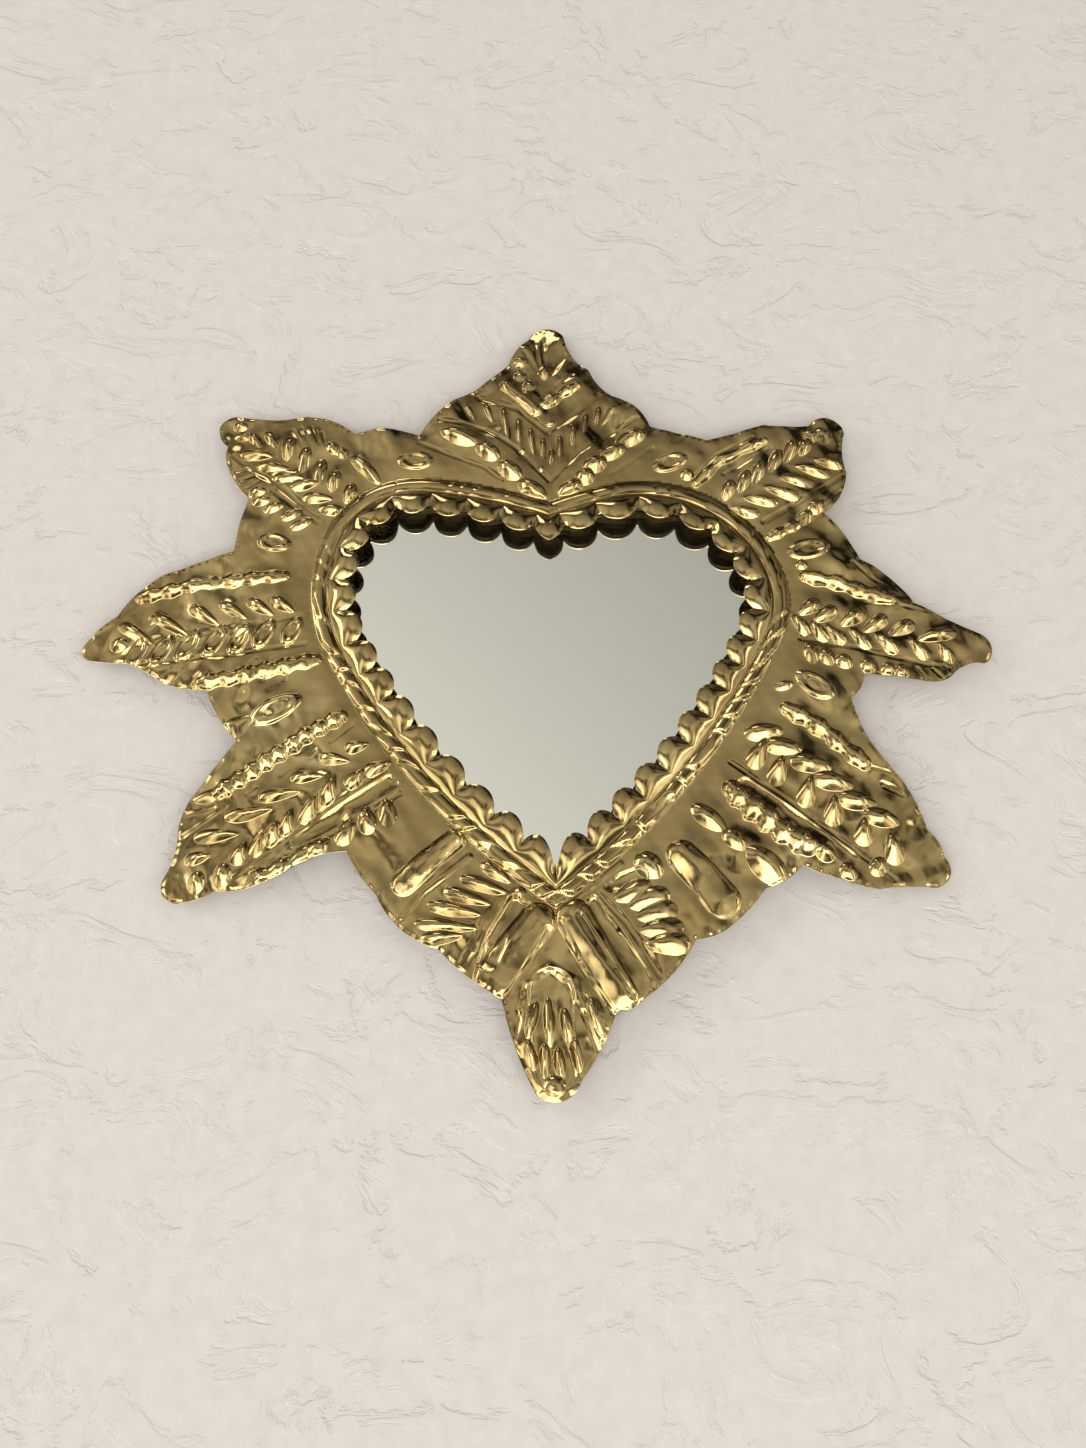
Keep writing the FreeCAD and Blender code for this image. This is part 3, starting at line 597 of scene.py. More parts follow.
def section_height(reach):
    """Height of the sheet without its figures."""
    rope_share = np.clip((reach - BAND_REACH) / (CREASE_REACH - BAND_REACH), 0, 1)
    rope = FOOT_HEIGHT + (CREASE_HEIGHT - FOOT_HEIGHT) * rope_share
    rope = rope + ROPE_BULGE * 4 * rope_share * (1 - rope_share)
    rise_share = np.clip((reach - CREASE_REACH) / (FIELD_REACH - CREASE_REACH), 0, 1)
    rise = CREASE_HEIGHT + (FIELD_HEIGHT - CREASE_HEIGHT) * (1 - (1 - rise_share) ** FIELD_POWER)
    drop_share = np.clip((reach - FIELD_REACH) / (EDGE_REACH - FIELD_REACH), 0, EDGE_OVERRUN)
    drop = FIELD_HEIGHT + (EDGE_HEIGHT - FIELD_HEIGHT) * drop_share ** EDGE_POWER
    height = np.where(reach < BAND_REACH, roll_height(reach), rope)
    height = np.where(reach > CREASE_REACH, rise, height)
    return np.where(reach > FIELD_REACH, drop, height)


def sighted_on_sheet(pixels):
    """Where the sight lines through pixels of the photograph meet the sheet."""
    height = np.full(len(pixels), FIELD_HEIGHT)
    for turn in range(SIGHT_ROUNDS):
        points = np.concatenate([sighted(pixel, level) for pixel, level in zip(pixels, height)])
        height = section_height(unrolled(points)[2])
    return points


def waves(points, seed, count, shortest, longest):
    """A smooth random field between about -1 and 1: a sum of plane waves."""
    rng = np.random.default_rng(seed)
    total = np.zeros(len(points))
    for number in range(count):
        length = shortest * (longest / shortest) ** rng.random()
        heading = unit(rng.random() * 360)
        total += np.sin(points @ heading * (2 * math.pi / length) + rng.random() * 2 * math.pi)
    return total / math.sqrt(count)


def rim_height(height, points, side_number, along, reach):
    """The height with the scallops' arches and the rope's facets."""
    height = height.copy()
    wander = waves(points, *ROPE_WAVES)
    for side, sign in SIDES.items():
        here = np.flatnonzero((side_number == (sign > 0)) & (reach < CREASE_REACH))
        out, far = reach[here], along[here]
        offset, half = in_scallop(side, far)
        arch = (np.abs(offset) / half) ** ARCH_POWER * (1 - smooth(ARCH_START_REACH, ARCH_END_REACH, out))
        arched = height[here] - ARCH_DROP * arch
        shift = (out - (BAND_REACH + CREASE_REACH) / 2) * ROPE_SLANT
        phase = ((far + shift) / ROPE_PITCH + ROPE_WANDER * wander[here]) % 1
        facet = phase - smooth(1 - ROPE_STEP_SHARE, 1, phase) - 0.5 * (1 - ROPE_STEP_SHARE)
        on_rope = smooth(*ROPE_START_REACHES, out) * (1 - smooth(*ROPE_END_REACHES, out))
        strength = ROPE_FAINT_SHARE + (1 - ROPE_FAINT_SHARE) * smooth(*ROPE_GROWS_ALONG, far)
        height[here] = arched + ROPE_STEP * facet * on_rope * strength
    return height


class Figure:
    """An embossed figure, with the corners of a box that holds all that it touches."""

    def near(self, points):
        """Which points the figure can touch."""
        return np.flatnonzero(((points > self.low) & (points < self.high)).all(axis=1))


class Stroke(Figure):
    """A figure along a line through points, whose half width changes along it. A crease or a ridge is a
    plain fold, and every other figure has a wall round a gently rounded middle."""

    def __init__(self, profile, first_half, last_half, height, beads, pixels):
        self.folded = profile in ("crease", "ridge")
        self.points = sighted_on_sheet(pixels)
        runs = np.hypot(*np.diff(self.points, axis=0).T)
        self.passed = np.concatenate([[0.0], np.cumsum(runs)])
        widening, heightening = STROKE_SCALES.get(profile, (1, 1))
        self.halves = np.array((first_half, last_half)) * PIXEL * widening
        self.height = height * MM * heightening
        self.beads = beads
        reach = self.halves.max() * STROKE_MARGIN * (1 if self.folded else SKIRT_SPREAD)
        self.low, self.high = self.points.min(axis=0) - reach, self.points.max(axis=0) + reach

    def half_width(self, share):
        """Half width at a share of the length."""
        return self.halves[0] + (self.halves[1] - self.halves[0]) * share

    def swell(self, share):
        """How much wider and higher a beaded figure is at a share of its length."""
        strength = BEAD_SWELL if self.beads else 0
        return 1 + strength * np.cos(2 * math.pi * (self.beads * share + 0.5))

    def relief(self, points):
        """Height that the stroke adds at points."""
        best = np.full(len(points), FAR)
        share = np.zeros(len(points))
        rise = np.zeros(len(points))
        total = self.passed[-1]
        for start, end, passed in zip(self.points, self.points[1:], self.passed):
            run = end - start
            length = math.hypot(*run)
            part = np.clip((points - start) @ run / length ** 2, 0, 1)
            offset = points - start - part[:, None] * run
            away = np.hypot(*offset.T)
            nearer = away < best
            best[nearer] = away[nearer]
            rise[nearer] = offset[nearer, 1]
            share[nearer] = ((passed + part * length) / total)[nearer]
        swell = self.swell(share)
        half = self.half_width(share) * swell
        inside = half - best
        if self.folded:
            shape = np.clip(inside / half, 0, 1) ** FOLD_POWER
        else:
            wall = np.minimum(WALL_WIDTH, WALL_SHARE * half)
            bowl = np.clip(1 - (best / half) ** 2, 0, 1)
            shape = PLATEAU_SHARE * smooth(0, wall, inside) + (1 - PLATEAU_SHARE) * bowl
            shape = with_skirt(shape, best / half) * (1 + LEAN * np.clip(rise / half, -1, 1))
        return self.height * (1 - STROKE_TAPER * share) * swell * shape

    def guides(self):
        """Points along the stroke's middle and round it, so that the mesh follows it."""
        total = self.passed[-1]
        count = max(3, int(total / LOOP_STEP) + 1)
        share = np.linspace(0, 1, count)
        middle = np.stack([np.interp(share * total, self.passed, self.points[:, i]) for i in (0, 1)], -1)
        heading = np.gradient(middle, axis=0)
        heading = heading / np.hypot(*heading.T)[:, None]
        normal = np.stack([-heading[:, 1], heading[:, 0]], axis=-1)
        half = (self.half_width(share) * self.swell(share))[:, None]
        lines = []
        for inset in LOOP_INSETS:
            across = half - inset
            if across.min() < LOOP_THINNING:
                across = np.maximum(across, LOOP_THINNING)
            lines += [middle + normal * across, middle - normal * across]
            for end, way, radius in ((middle[0], -heading[0], across[0, 0]),
                                     (middle[-1], heading[-1], across[-1, 0])):
                turns = np.linspace(-90, 90, max(4, int(math.pi * radius / LOOP_STEP)))[1:-1]
                tilt = math.degrees(math.atan2(way[1], way[0]))
                lines.append(end + unit(tilt + turns) * radius)
        lines.append(middle)
        return np.concatenate(lines)


class Oval(Figure):
    """A boss with the outline of an egg, round or, as an eye, dished on top."""

    def __init__(self, profile, first_half, last_half, height, pixels):
        ends = sighted_on_sheet(pixels)
        self.halves = np.array((first_half, last_half)) * PIXEL * OVAL_WIDENING
        length = math.hypot(*(ends[1] - ends[0]))
        self.middle = ends.mean(axis=0)
        self.along = (ends[1] - ends[0]) / length
        self.across = np.array((-self.along[1], self.along[0]))
        self.half_length = length / 2 + self.halves.mean() / OVAL_WIDENING
        self.dished = profile == "eye"
        self.height = height * MM * OVAL_HEIGHTENING
        reach = max(self.half_length, self.halves.max()) * SKIRT_SPREAD
        self.low, self.high = self.middle - reach, self.middle + reach

    def half_width(self, share):
        """Half width where the share of the half length is between -1 and 1."""
        return self.halves.mean() + (self.halves[1] - self.halves[0]) / 2 * np.clip(share, -1, 1)

    def relief(self, points):
        """Height that the oval adds at points."""
        share = (points - self.middle) @ self.along / self.half_length
        away = (points - self.middle) @ self.across / self.half_width(share)
        inside = np.clip(1 - share ** 2 - away ** 2, 0, 1)
        shape = with_skirt(inside ** OVAL_POWER, np.hypot(share, away))
        if self.dished:
            shape = shape - EYE_DIMPLE * smooth(1 - EYE_DIMPLE_SHARE, 1, inside)
        else:
            rise = np.clip(share * self.along[1] + away * self.across[1], -1, 1)
            shape = shape * (1 + LEAN * rise)
        return self.height * shape

    def guides(self):
        """Points along rings in the oval, so that the mesh follows it."""
        rings = [self.middle[None]]
        for inset in (*LOOP_INSETS, *OVAL_INSETS):
            long, wide = self.half_length - inset, self.halves.mean() - inset
            if min(long, wide) > LOOP_STEP / 2:
                count = int(math.pi * (long + wide) / LOOP_STEP)
                turns = unit(np.arange(count) * 360 / count)
                width = self.half_width(turns[:, :1]) - inset
                arm = self.along * turns[:, :1] * long + self.across * turns[:, 1:] * width
                rings.append(self.middle + arm)
        return np.concatenate(rings)


def with_skirt(shape, away):
    """A figure's shape with the soft swell of the metal round it, by the distance in half widths."""
    skirt = np.clip(1 - away / SKIRT_SPREAD, 0, 1) ** 2 * SKIRT_SHARE
    return skirt + (1 - SKIRT_SHARE) * shape


def make_figure(profile, first_half, last_half, height, beads, pixels):
    """A figure of the fitting kind."""
    if profile in ("dome", "eye") and len(pixels) == 2 and not beads:
        return Oval(profile, first_half, last_half, height, pixels)
    return Stroke(profile, first_half, last_half, height, beads, pixels)


FIGURES = [
    make_figure(profile, first, last, height, beads, pixels)
    for groups in TRACED_FIGURES.values()
    for profile, first, last, height, beads, strokes in groups
    for pixels in strokes
]


def sheet_height(points, edge=None):
    """Height of the sheet's front at points in the wall's plane."""
    side_number, along, reach = unrolled(points)
    height = rim_height(section_height(reach), points, side_number, along, reach)
    raised = np.zeros(len(points))
    sunken = np.zeros(len(points))
    for figure in FIGURES:
        near = figure.near(points)
        if len(near):
            side = raised if figure.height > 0 else sunken
            side[near] += (np.abs(figure.relief(points[near])) / MM) ** JOIN_POWER
    sunken *= smooth(FLANGE_REACH, FLANGE_REACH + FLANGE_FADE, reach)
    figures = (raised ** (1 / JOIN_POWER) - sunken ** (1 / JOIN_POWER)) * MM
    height += figures * smooth(*FIGURE_REACHES, reach)
    in_field = smooth(CREASE_REACH, FIELD_REACH, reach)
    height += in_field * sum(high * waves(points, *lengths) for high, lengths in FIELD_WAVES)
    height += FINE_HEIGHT * waves(points, *FINE_WAVES)
    if edge is not None:
        height -= LIP_DROP * (1 - smooth(0, LIP_WIDTH, edge.distance(points)))
    return height


def rim_row(side, row):
    """One side's points of a row of the rim, from the cusp to the heart's point. A row from -1 to 0 lies
    between the scallops' free edge and the crest line, and any other row is a reach."""
    places = []
    passed = 0.0
    arcs = ARCS[side]
    for number, arc in enumerate(arcs):
        centre, radius, first, last = arc
        count = max(3, round(math.radians(first - last) * radius / COLUMN_STEP))
        steps = np.arange(count + (number == len(arcs) - 1)) / count
        angles = first + (last - first) * steps
        reach = np.full(len(angles), row)
        if row < 0:
            reach = -row * free_edge(side, passed + np.radians(first - angles) * radius)
        if number == 0:
            angles = angles + (middle_angle(arc, reach) - first) * (1 - steps) ** END_SHIFT_POWER
        if number == len(arcs) - 1:
            angles = angles + (middle_angle(arc, reach) - last) * steps ** END_SHIFT_POWER
        places.append(centre + unit(angles) * (radius + reach)[:, None])
        passed += math.radians(first - last) * radius
    return np.concatenate(places) * (SIDES[side], 1)


def rim_grid():
    """The structured part of the sheet from the scallops' free edge to the crease: rows of points, each
    row from the heart's point up the left side, over the cusp and down the right side."""
    grid = []
    for row in [-1 + number / SCALLOP_ROWS for number in range(SCALLOP_ROWS)] + RIM_REACHES:
        left, right = (rim_row(side, row) for side in SIDES)
        grid.append(np.concatenate([left[::-1], right[1:-1]]))
    return np.array(grid)


def outline_loop():
    """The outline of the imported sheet, as a closed loop of evenly spaced points."""
    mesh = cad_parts["front_sheet"].data
    corners = np.array([v.co for v in mesh.vertices])
    keys, merged = np.unique(np.round(corners, OUTLINE_DIGITS), axis=0, return_inverse=True)
    merged = merged.ravel()
    uses = {}
    for face in mesh.polygons:
        if face.normal.y < FRONT_NORMAL_Y:
            ring = [merged[v] for v in face.vertices]
            for a, b in zip(ring, ring[1:] + ring[:1]):
                uses[(a, b)] = uses.get((a, b), 0) + 1
    follow = {a: b for a, b in uses if (b, a) not in uses}
    loops = []
    while follow:
        start, nxt = follow.popitem()
        loop = [start]
        while nxt != start and nxt in follow:
            loop.append(nxt)
            nxt = follow.pop(nxt)
        loops.append(keys[loop][:, [0, 2]])
    loop = max(loops, key=lambda ring: np.ptp(ring[:, 0]))
    closed = np.concatenate([loop, loop[:1]])
    passed = np.concatenate([[0.0], np.cumsum(np.hypot(*np.diff(closed, axis=0).T))])
    count = int(passed[-1] / LOOP_STEP)
    places = np.arange(count) * passed[-1] / count
    return np.stack([np.interp(places, passed, closed[:, i]) for i in (0, 1)], axis=-1)


def inside_loop(points, loop):
    """Which points lie inside a closed loop."""
    result = np.zeros(len(points), bool)
    nxt = np.roll(loop, -1, axis=0)
    for (x0, z0), (x1, z1) in zip(loop, nxt):
        crosses = (z0 > points[:, 1]) != (z1 > points[:, 1])
        if crosses.any():
            line_x = x0 + (points[crosses, 1] - z0) / (z1 - z0) * (x1 - x0)
            hit = np.flatnonzero(crosses)[points[crosses, 0] < line_x]
            result[hit] ^= True
    return result


def tree_of(points):
    """A search tree over points, in the wall's plane or in space."""
    tree = kdtree.KDTree(len(points))
    for number, point in enumerate(points):
        tree.insert((*point, 0)[:3], number)
    tree.balance()
    return tree


def distances(points, tree):
    """Distances of points in the wall's plane from the nearest points in a tree."""
    return np.array([tree.find((x, z, 0))[2] for x, z in points])


class Edge:
    """A closed loop of points to measure distances from."""

    def __init__(self, loop):
        self.loop = loop
        self.tree = tree_of(loop)

    def distance(self, points):
        """Distance of points from the loop's line."""
        nearest = np.array([self.tree.find((x, z, 0))[1] for x, z in points])
        best = np.full(len(points), np.inf)
        for step in (-1, 0):
            start = self.loop[nearest + step]
            run = self.loop[(nearest + step + 1) % len(self.loop)] - start
            share = np.clip(((points - start) * run).sum(axis=1) / (run ** 2).sum(axis=1), 0, 1)
            best = np.minimum(best, np.hypot(*(points - start - share[:, None] * run).T))
        return best


def clear_of(points, tree, distance):
    """The points that are farther than a distance from everything in a tree."""
    return points[distances(points, tree) > distance]


def hex_grid(low, high, step):
    """Evenly spaced points in rows that are shifted by half a step."""
    rows = np.arange(low[1], high[1], step * math.sqrt(0.75))
    lines = []
    for number, z in enumerate(rows):
        x = np.arange(low[0] + (number % 2) * step / 2, high[0], step)
        lines.append(np.stack([x, np.full(len(x), z)], axis=-1))
    return np.concatenate(lines)


def thinned(points, distance):
    """The points without those that are nearer than a distance to one already taken."""
    taken = set()
    kept = []
    for x, z in points:
        cell = (round(x / distance), round(z / distance))
        if cell not in taken:
            taken.add(cell)
            kept.append((x, z))
    return np.array(kept)


def triangulated(outer, inner, free):
    """Triangles between two closed loops, through free points. Returns the points and the triangles."""
    points = np.concatenate([outer, inner, free])
    loops = []
    for start, count in ((0, len(outer)), (len(outer), len(inner))):
        loops += [(start + i, start + (i + 1) % count) for i in range(count)]
    made = geometry.delaunay_2d_cdt([Vector(p) for p in points], loops, [], 1, TRIANGLE_SLACK)
    places = np.array([p[:] for p in made[0]])
    faces = np.array(made[2])
    middles = places[faces].mean(axis=1)
    faces = faces[~inside_loop(middles, inner)]
    return places, faces


def sheet_back(points, inner_tree):
    """Height of the sheet's back: behind the lowest place of the front around each point, but as thin as
    the sheet at the scallops' free edge."""
    search = BACK_SEARCH * smooth(0, BACK_STEP, distances(points, inner_tree))
    shifts = [np.array(way) * search[:, None] for way in ((0, 0), (1, 0), (-1, 0), (0, 1), (0, -1))]
    return np.min([sheet_height(points + shift) for shift in shifts], axis=0) - SHEET_GAUGE


def placed(points, height):
    """Points of the wall's plane lifted to their heights."""
    return np.stack([points[:, 0], -height, points[:, 1]], axis=-1)


def front_normals(points, edge):
    """Directions square to the sheet's front at points in the wall's plane."""
    slopes = []
    for way in (np.array((NORMAL_STEP, 0)), np.array((0, NORMAL_STEP))):
        ahead, behind = sheet_height(points + way, edge), sheet_height(points - way, edge)
        slopes.append((ahead - behind) / (2 * NORMAL_STEP))
    normals = np.stack([-slopes[0], np.full(len(points), -1.0), -slopes[1]], axis=-1)
    return normals / np.linalg.norm(normals, axis=1)[:, None]


def new_object(name, data):
    """An object of the scene that shows a mesh, a lamp or a camera."""
    made = bpy.data.objects.new(name, data)
    bpy.context.collection.objects.link(made)
    return made


def joined_mesh(name, shells, normals):
    """One object from shells of places and faces, with the places that coincide merged. The first shells
    have normals of their own, one for each place, and the other shells are flat."""
    mesh = bpy.data.meshes.new(name)
    faces = []
    tags = []
    start = 0
    for number, (places, shell_faces) in enumerate(shells):
        faces += [[v + start for v in face] for face in shell_faces]
        tags += [int(number < len(normals))] * len(shell_faces)
        start += len(places)
    mesh.from_pydata(np.concatenate([places for places, shell_faces in shells]).tolist(), [], faces)
    mesh.polygons.foreach_set("material_index", tags)
    work = bmesh.new()
    work.from_mesh(mesh)
    bmesh.ops.remove_doubles(work, verts=work.verts, dist=MERGE_DISTANCE)
    bmesh.ops.recalc_face_normals(work, faces=work.faces)
    work.to_mesh(mesh)
    work.free()
    curved_places = np.concatenate([places for places, shell_faces in shells[:len(normals)]])
    towards = np.concatenate(normals)
    tree = tree_of(curved_places)
    nearest = [tree.find(v.co)[1] for v in mesh.vertices]
    loops = []
    for face in mesh.polygons:
        flat = tuple(face.normal)
        loops += [tuple(towards[nearest[v]]) if face.material_index else flat for v in face.vertices]
    mesh.polygons.foreach_set("material_index", [0] * len(mesh.polygons))
    mesh.polygons.foreach_set("use_smooth", [True] * len(mesh.polygons))
    mesh.normals_split_custom_set(loops)
    return new_object(name, mesh)


def make_silver():
    """The silver, inside the clear glass: a thin sheet with the heart's outline."""
    loop = []
    for side, sign in SIDES.items():
        half = []
        for number, arc in enumerate(ARCS[side]):
            centre, radius, first, last = arc
            first = middle_angle(arc, SILVER_REACH) if number == 0 else first
            last = middle_angle(arc, SILVER_REACH) if number == len(ARCS[side]) - 1 else last
            half.append(centre + unit(np.linspace(first, last, SILVER_STEPS)) * (radius + SILVER_REACH))
        half = np.concatenate(half) * (sign, 1)
        loop.append(half[::-1] if sign < 0 else half)
    loop = thinned(np.concatenate(loop), LOOP_THINNING)
    mesh = bpy.data.meshes.new("silver_sheet")
    mesh.from_pydata(placed(loop, np.full(len(loop), SILVER_HEIGHT)).tolist(), [], [range(len(loop))])
    made = new_object("silver_sheet", mesh)
    mesh.materials.append(silver_layer())
    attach(made, "mirror")


def grid_faces(rows, columns):
    """Quads of a grid whose rows are closed rings."""
    faces = []
    for row in range(rows - 1):
        for column in range(columns):
            a = row * columns + column
            b = row * columns + (column + 1) % columns
            faces.append([a, b, b + columns, a + columns])
    return faces


def make_embossed_sheet():
    """The embossed front sheet with its back and its cut edges, as one closed mesh."""
    grid = rim_grid()
    outer = outline_loop()
    inner, crease = grid[0], grid[-1]
    edge, inner_tree = Edge(outer), tree_of(inner)
    margin = LOOP_STEP / 2
    guides = thinned(np.concatenate([figure.guides() for figure in FIGURES]), LOOP_THINNING)
    guides = guides[inside_loop(guides, outer)]
    guides = clear_of(guides[unrolled(guides)[2] > CREASE_REACH + margin], edge.tree, margin)
    free = hex_grid(outer.min(axis=0), outer.max(axis=0), FIELD_STEP)
    free = free[inside_loop(free, outer)]
    free = clear_of(free[unrolled(free)[2] > CREASE_REACH + margin], edge.tree, FIELD_STEP / 2)
    free = clear_of(free, tree_of(guides), FIELD_STEP * GUIDE_CLEARANCE_SHARE)
    field, field_faces = triangulated(outer, crease, np.concatenate([guides, free]))
    rim = grid.reshape(-1, 2)
    shells = [
        (placed(rim, sheet_height(rim)), grid_faces(*grid.shape[:2])),
        (placed(field, sheet_height(field, edge)), field_faces.tolist()),
    ]
    normals = [front_normals(rim, None), front_normals(field, edge)]
    back = hex_grid(outer.min(axis=0), outer.max(axis=0), BACK_STEP)
    back = clear_of(back[inside_loop(back, outer)], edge.tree, BACK_STEP / 2)
    back = clear_of(back[~inside_loop(back, inner)], inner_tree, BACK_STEP / 2)
    back, back_faces = triangulated(outer, inner, back)
    shells.append((placed(back, sheet_back(back, inner_tree)), back_faces.tolist()))
    for loop, front in ((outer, sheet_height(outer, edge)), (inner, sheet_height(inner))):
        wall = np.concatenate([placed(loop, front), placed(loop, sheet_back(loop, inner_tree))])
        shells.append((wall, grid_faces(2, len(loop))))
    return joined_mesh("embossed_sheet", shells, normals)


class Nodes:
    """A node tree that is filled node by node."""

    def __init__(self, tree):
        self.tree = tree

    def add(self, kind, **settings):
        """A node, with settings of the node itself."""
        node = self.tree.nodes.new(kind)
        for key, value in settings.items():
            setattr(node, key, value)
        return node

    def fill(self, socket, value):
        """Sets an input to a number, a vector or a colour, or to another node's output."""
        if isinstance(value, bpy.types.NodeSocket):
            self.tree.links.new(value, socket)
        elif socket.type == "RGBA":
            socket.default_value = (*value, 1)
        else:
            socket.default_value = value

    def put(self, node, **values):
        """Sets a node's inputs by their names."""
        for key, value in values.items():
            self.fill(node.inputs[key.replace("_", " ")], value)
        return node

    def put_in_order(self, node, *values):
        """Sets a node's first inputs in their order."""
        for socket, value in zip(node.inputs, values):
            self.fill(socket, value)
        return node

    def number(self, operation, *values):
        """A number worked out from others."""
        return self.put_in_order(self.add("ShaderNodeMath", operation=operation), *values).outputs[0]

    def ramp(self, value, stops):
        """A value turned into another, or into a colour, by stops of (place, value or colour)."""
        node = self.add("ShaderNodeValToRGB")
        ramp = node.color_ramp
        while len(ramp.elements) < len(stops):
            ramp.elements.new(0.5)
        for element, (place, colour) in zip(ramp.elements, stops):
            element.position = place
            element.color = (colour, colour, colour, 1) if isinstance(colour, float) else (*colour, 1)
        self.fill(node.inputs["Fac"], value)
        return node.outputs["Color"]

    def mix(self, share, first, second, blend="MIX"):
        """A colour made from two colours."""
        node = self.add("ShaderNodeMix", data_type="RGBA", blend_type=blend)
        colours = [s for s in node.inputs if s.type == "RGBA"]
        factor = [s for s in node.inputs if s.name == "Factor" and s.type == "VALUE"][0]
        for socket, value in zip((factor, *colours), (share, first, second)):
            self.fill(socket, value)
        return [s for s in node.outputs if s.type == "RGBA"][0]


class Shader(Nodes):
    """A material whose nodes are added one by one."""

    def __init__(self, name):
        self.material = bpy.data.materials.new(name)
        self.material.use_nodes = True
        super().__init__(self.material.node_tree)
        self.surface = self.tree.nodes["Principled BSDF"]
        place = self.add("ShaderNodeTexCoord")
        self.place = place.outputs["Object"]
        self.facing = place.outputs["Normal"]

    def noise(self, per_metre, detail=3.0, roughness=0.5, distortion=0.0, stretch=(1, 1, 1), seed=0.0):
        """Noise from 0 to 1 with so many waves in a metre."""
        turned = self.add("ShaderNodeMapping")
        self.put(turned, Vector=self.place, Scale=stretch, Location=(seed, seed * NOISE_SKEW, -seed))
        node = self.add("ShaderNodeTexNoise")
        self.put(node, Vector=turned.outputs["Vector"], Scale=per_metre, Detail=detail,
                 Roughness=roughness, Distortion=distortion)
        return node.outputs["Fac"]

    def spots(self, per_metre, seed=0.0):
        """Distance to the nearest of many scattered points, in cells."""
        turned = self.add("ShaderNodeMapping")
        self.put(turned, Vector=self.place, Location=(seed, -seed, seed))
        node = self.add("ShaderNodeTexVoronoi")
        self.put(node, Vector=turned.outputs["Vector"], Scale=per_metre)
        return node.outputs["Distance"]

    def bump(self, height, distance, strength=1.0):
        """Relief from a height between 0 and 1 that stands for a distance in metres."""
        node = self.add("ShaderNodeBump")
        self.put(node, Height=height, Distance=distance, Strength=strength)
        self.put(self.surface, Normal=node.outputs["Normal"])

    def finish(self, colour, roughness, metallic=0.0, **others):
        """Sets the surface's main values."""
        self.put(self.surface, Base_Color=colour, Roughness=roughness, Metallic=metallic, **others)
        return self.material

    def between(self, share, first, second):
        """A surface between two surfaces."""
        return self.put_in_order(self.add("ShaderNodeMixShader"), share, first, second).outputs[0]

    def show(self, surface):
        """Shows a surface in place of the plain one."""
        self.fill(self.tree.nodes["Material Output"].inputs["Surface"], surface)
        return self.material


def embossed_brass():
    """Polished old brass with cloudy patina, fine scratches and small black specks."""
    shader = Shader("embossed_brass")
    clouds = shader.noise(28, detail=4.0, seed=1.0)
    tone = shader.ramp(clouds, [(0.3, BRASS_DARK), (0.52, BRASS_MIDDLE), (0.75, BRASS_LIGHT)])
    specks = shader.ramp(shader.spots(42, seed=3.0), [(0.045, 1.0), (0.07, 0.0)])
    scatter = shader.ramp(shader.noise(16, seed=5.0), [(0.55, 0.0), (0.6, 1.0)])
    colour = shader.mix(shader.number("MULTIPLY", specks, scatter), tone, BRASS_SPECK)
    rough = shader.ramp(shader.noise(60, detail=5.0, seed=7.0), [(0.3, 0.07), (0.8, 0.17)])
    scratches = shader.noise(900, detail=2.0, stretch=(1, 1, 0.12), seed=9.0)
    shader.bump(scratches, SCRATCH_DEPTH)
    facing = shader.put(shader.add("ShaderNodeSeparateXYZ"), Vector=shader.facing)
    behind = shader.ramp(facing.outputs["Y"], [(0.2, 0.0), (0.5, 1.0)])
    colour = shader.mix(behind, colour, BRASS_BACK)
    rough = shader.mix(behind, rough, (BACK_ROUGHNESS,) * 3)
    return shader.finish(colour, rough, 1.0)


def plain_metal(name, colour, low_rough, high_rough, stretch=(1, 1, 1), relief=DRAWN_DEPTH, per_metre=300):
    """A metal with uneven tone and roughness and a fine drawn or cast surface."""
    shader = Shader(name)
    dark = tuple(c * SHADE for c in colour)
    clouds = shader.noise(45, detail=5.0, stretch=stretch, seed=2.0)
    tone = shader.ramp(clouds, [(0.3, dark), (0.7, colour)])
    fine = shader.noise(per_metre, detail=4.0, stretch=stretch, seed=4.0)
    rough = shader.ramp(fine, [(0.25, low_rough), (0.75, high_rough)])
    shader.bump(fine, relief)
    return shader.finish(tone, rough, 1.0)


def clear_glass():
    """Clear glass, painted on its back."""
    shader = Shader("silvered_glass")
    parts = shader.put(shader.add("ShaderNodeSeparateXYZ"), Vector=shader.place)
    behind = shader.number("GREATER_THAN", parts.outputs["Y"], PAINT_Y)
    grain = shader.noise(260, detail=4.0, seed=8.0)
    shader.finish(shader.ramp(grain, [(0.3, PAINTED_BACK), (0.7, PAINTED_DARK)]), 0.55)
    through = shader.put(shader.add("ShaderNodeBsdfTransparent"), Color=GLASS_TINT)
    sheen = shader.put(shader.add("ShaderNodeBsdfGlossy"), Roughness=0.0)
    facing = shader.put(shader.add("ShaderNodeLayerWeight"), Blend=0.5)
    slant = shader.number("POWER", facing.outputs["Facing"], SHEEN_POWER)
    share = shader.number("MAXIMUM", slant, SHEEN_LEAST)
    clear = shader.between(share, through.outputs[0], sheen.outputs[0])
    return shader.show(shader.between(behind, clear, shader.surface.outputs[0]))


def silver_layer():
    """Silver with a few faint smears."""
    shader = Shader("silver_layer")
    smears = shader.ramp(shader.noise(22, detail=6.0, seed=6.0), [(0.5, 0.0), (0.8, 0.02)])
    return shader.finish(SILVER, smears, 1.0)


def card():
    """Grey-brown packing card with fibres."""
    shader = Shader("card")
    fibres = shader.noise(700, detail=5.0, stretch=(1, 1, 0.3), seed=1.0)
    tone = shader.ramp(fibres, [(0.3, CARD_DARK), (0.7, CARD_LIGHT)])
    shader.bump(fibres, FIBRE_DEPTH)
    return shader.finish(tone, 0.9)


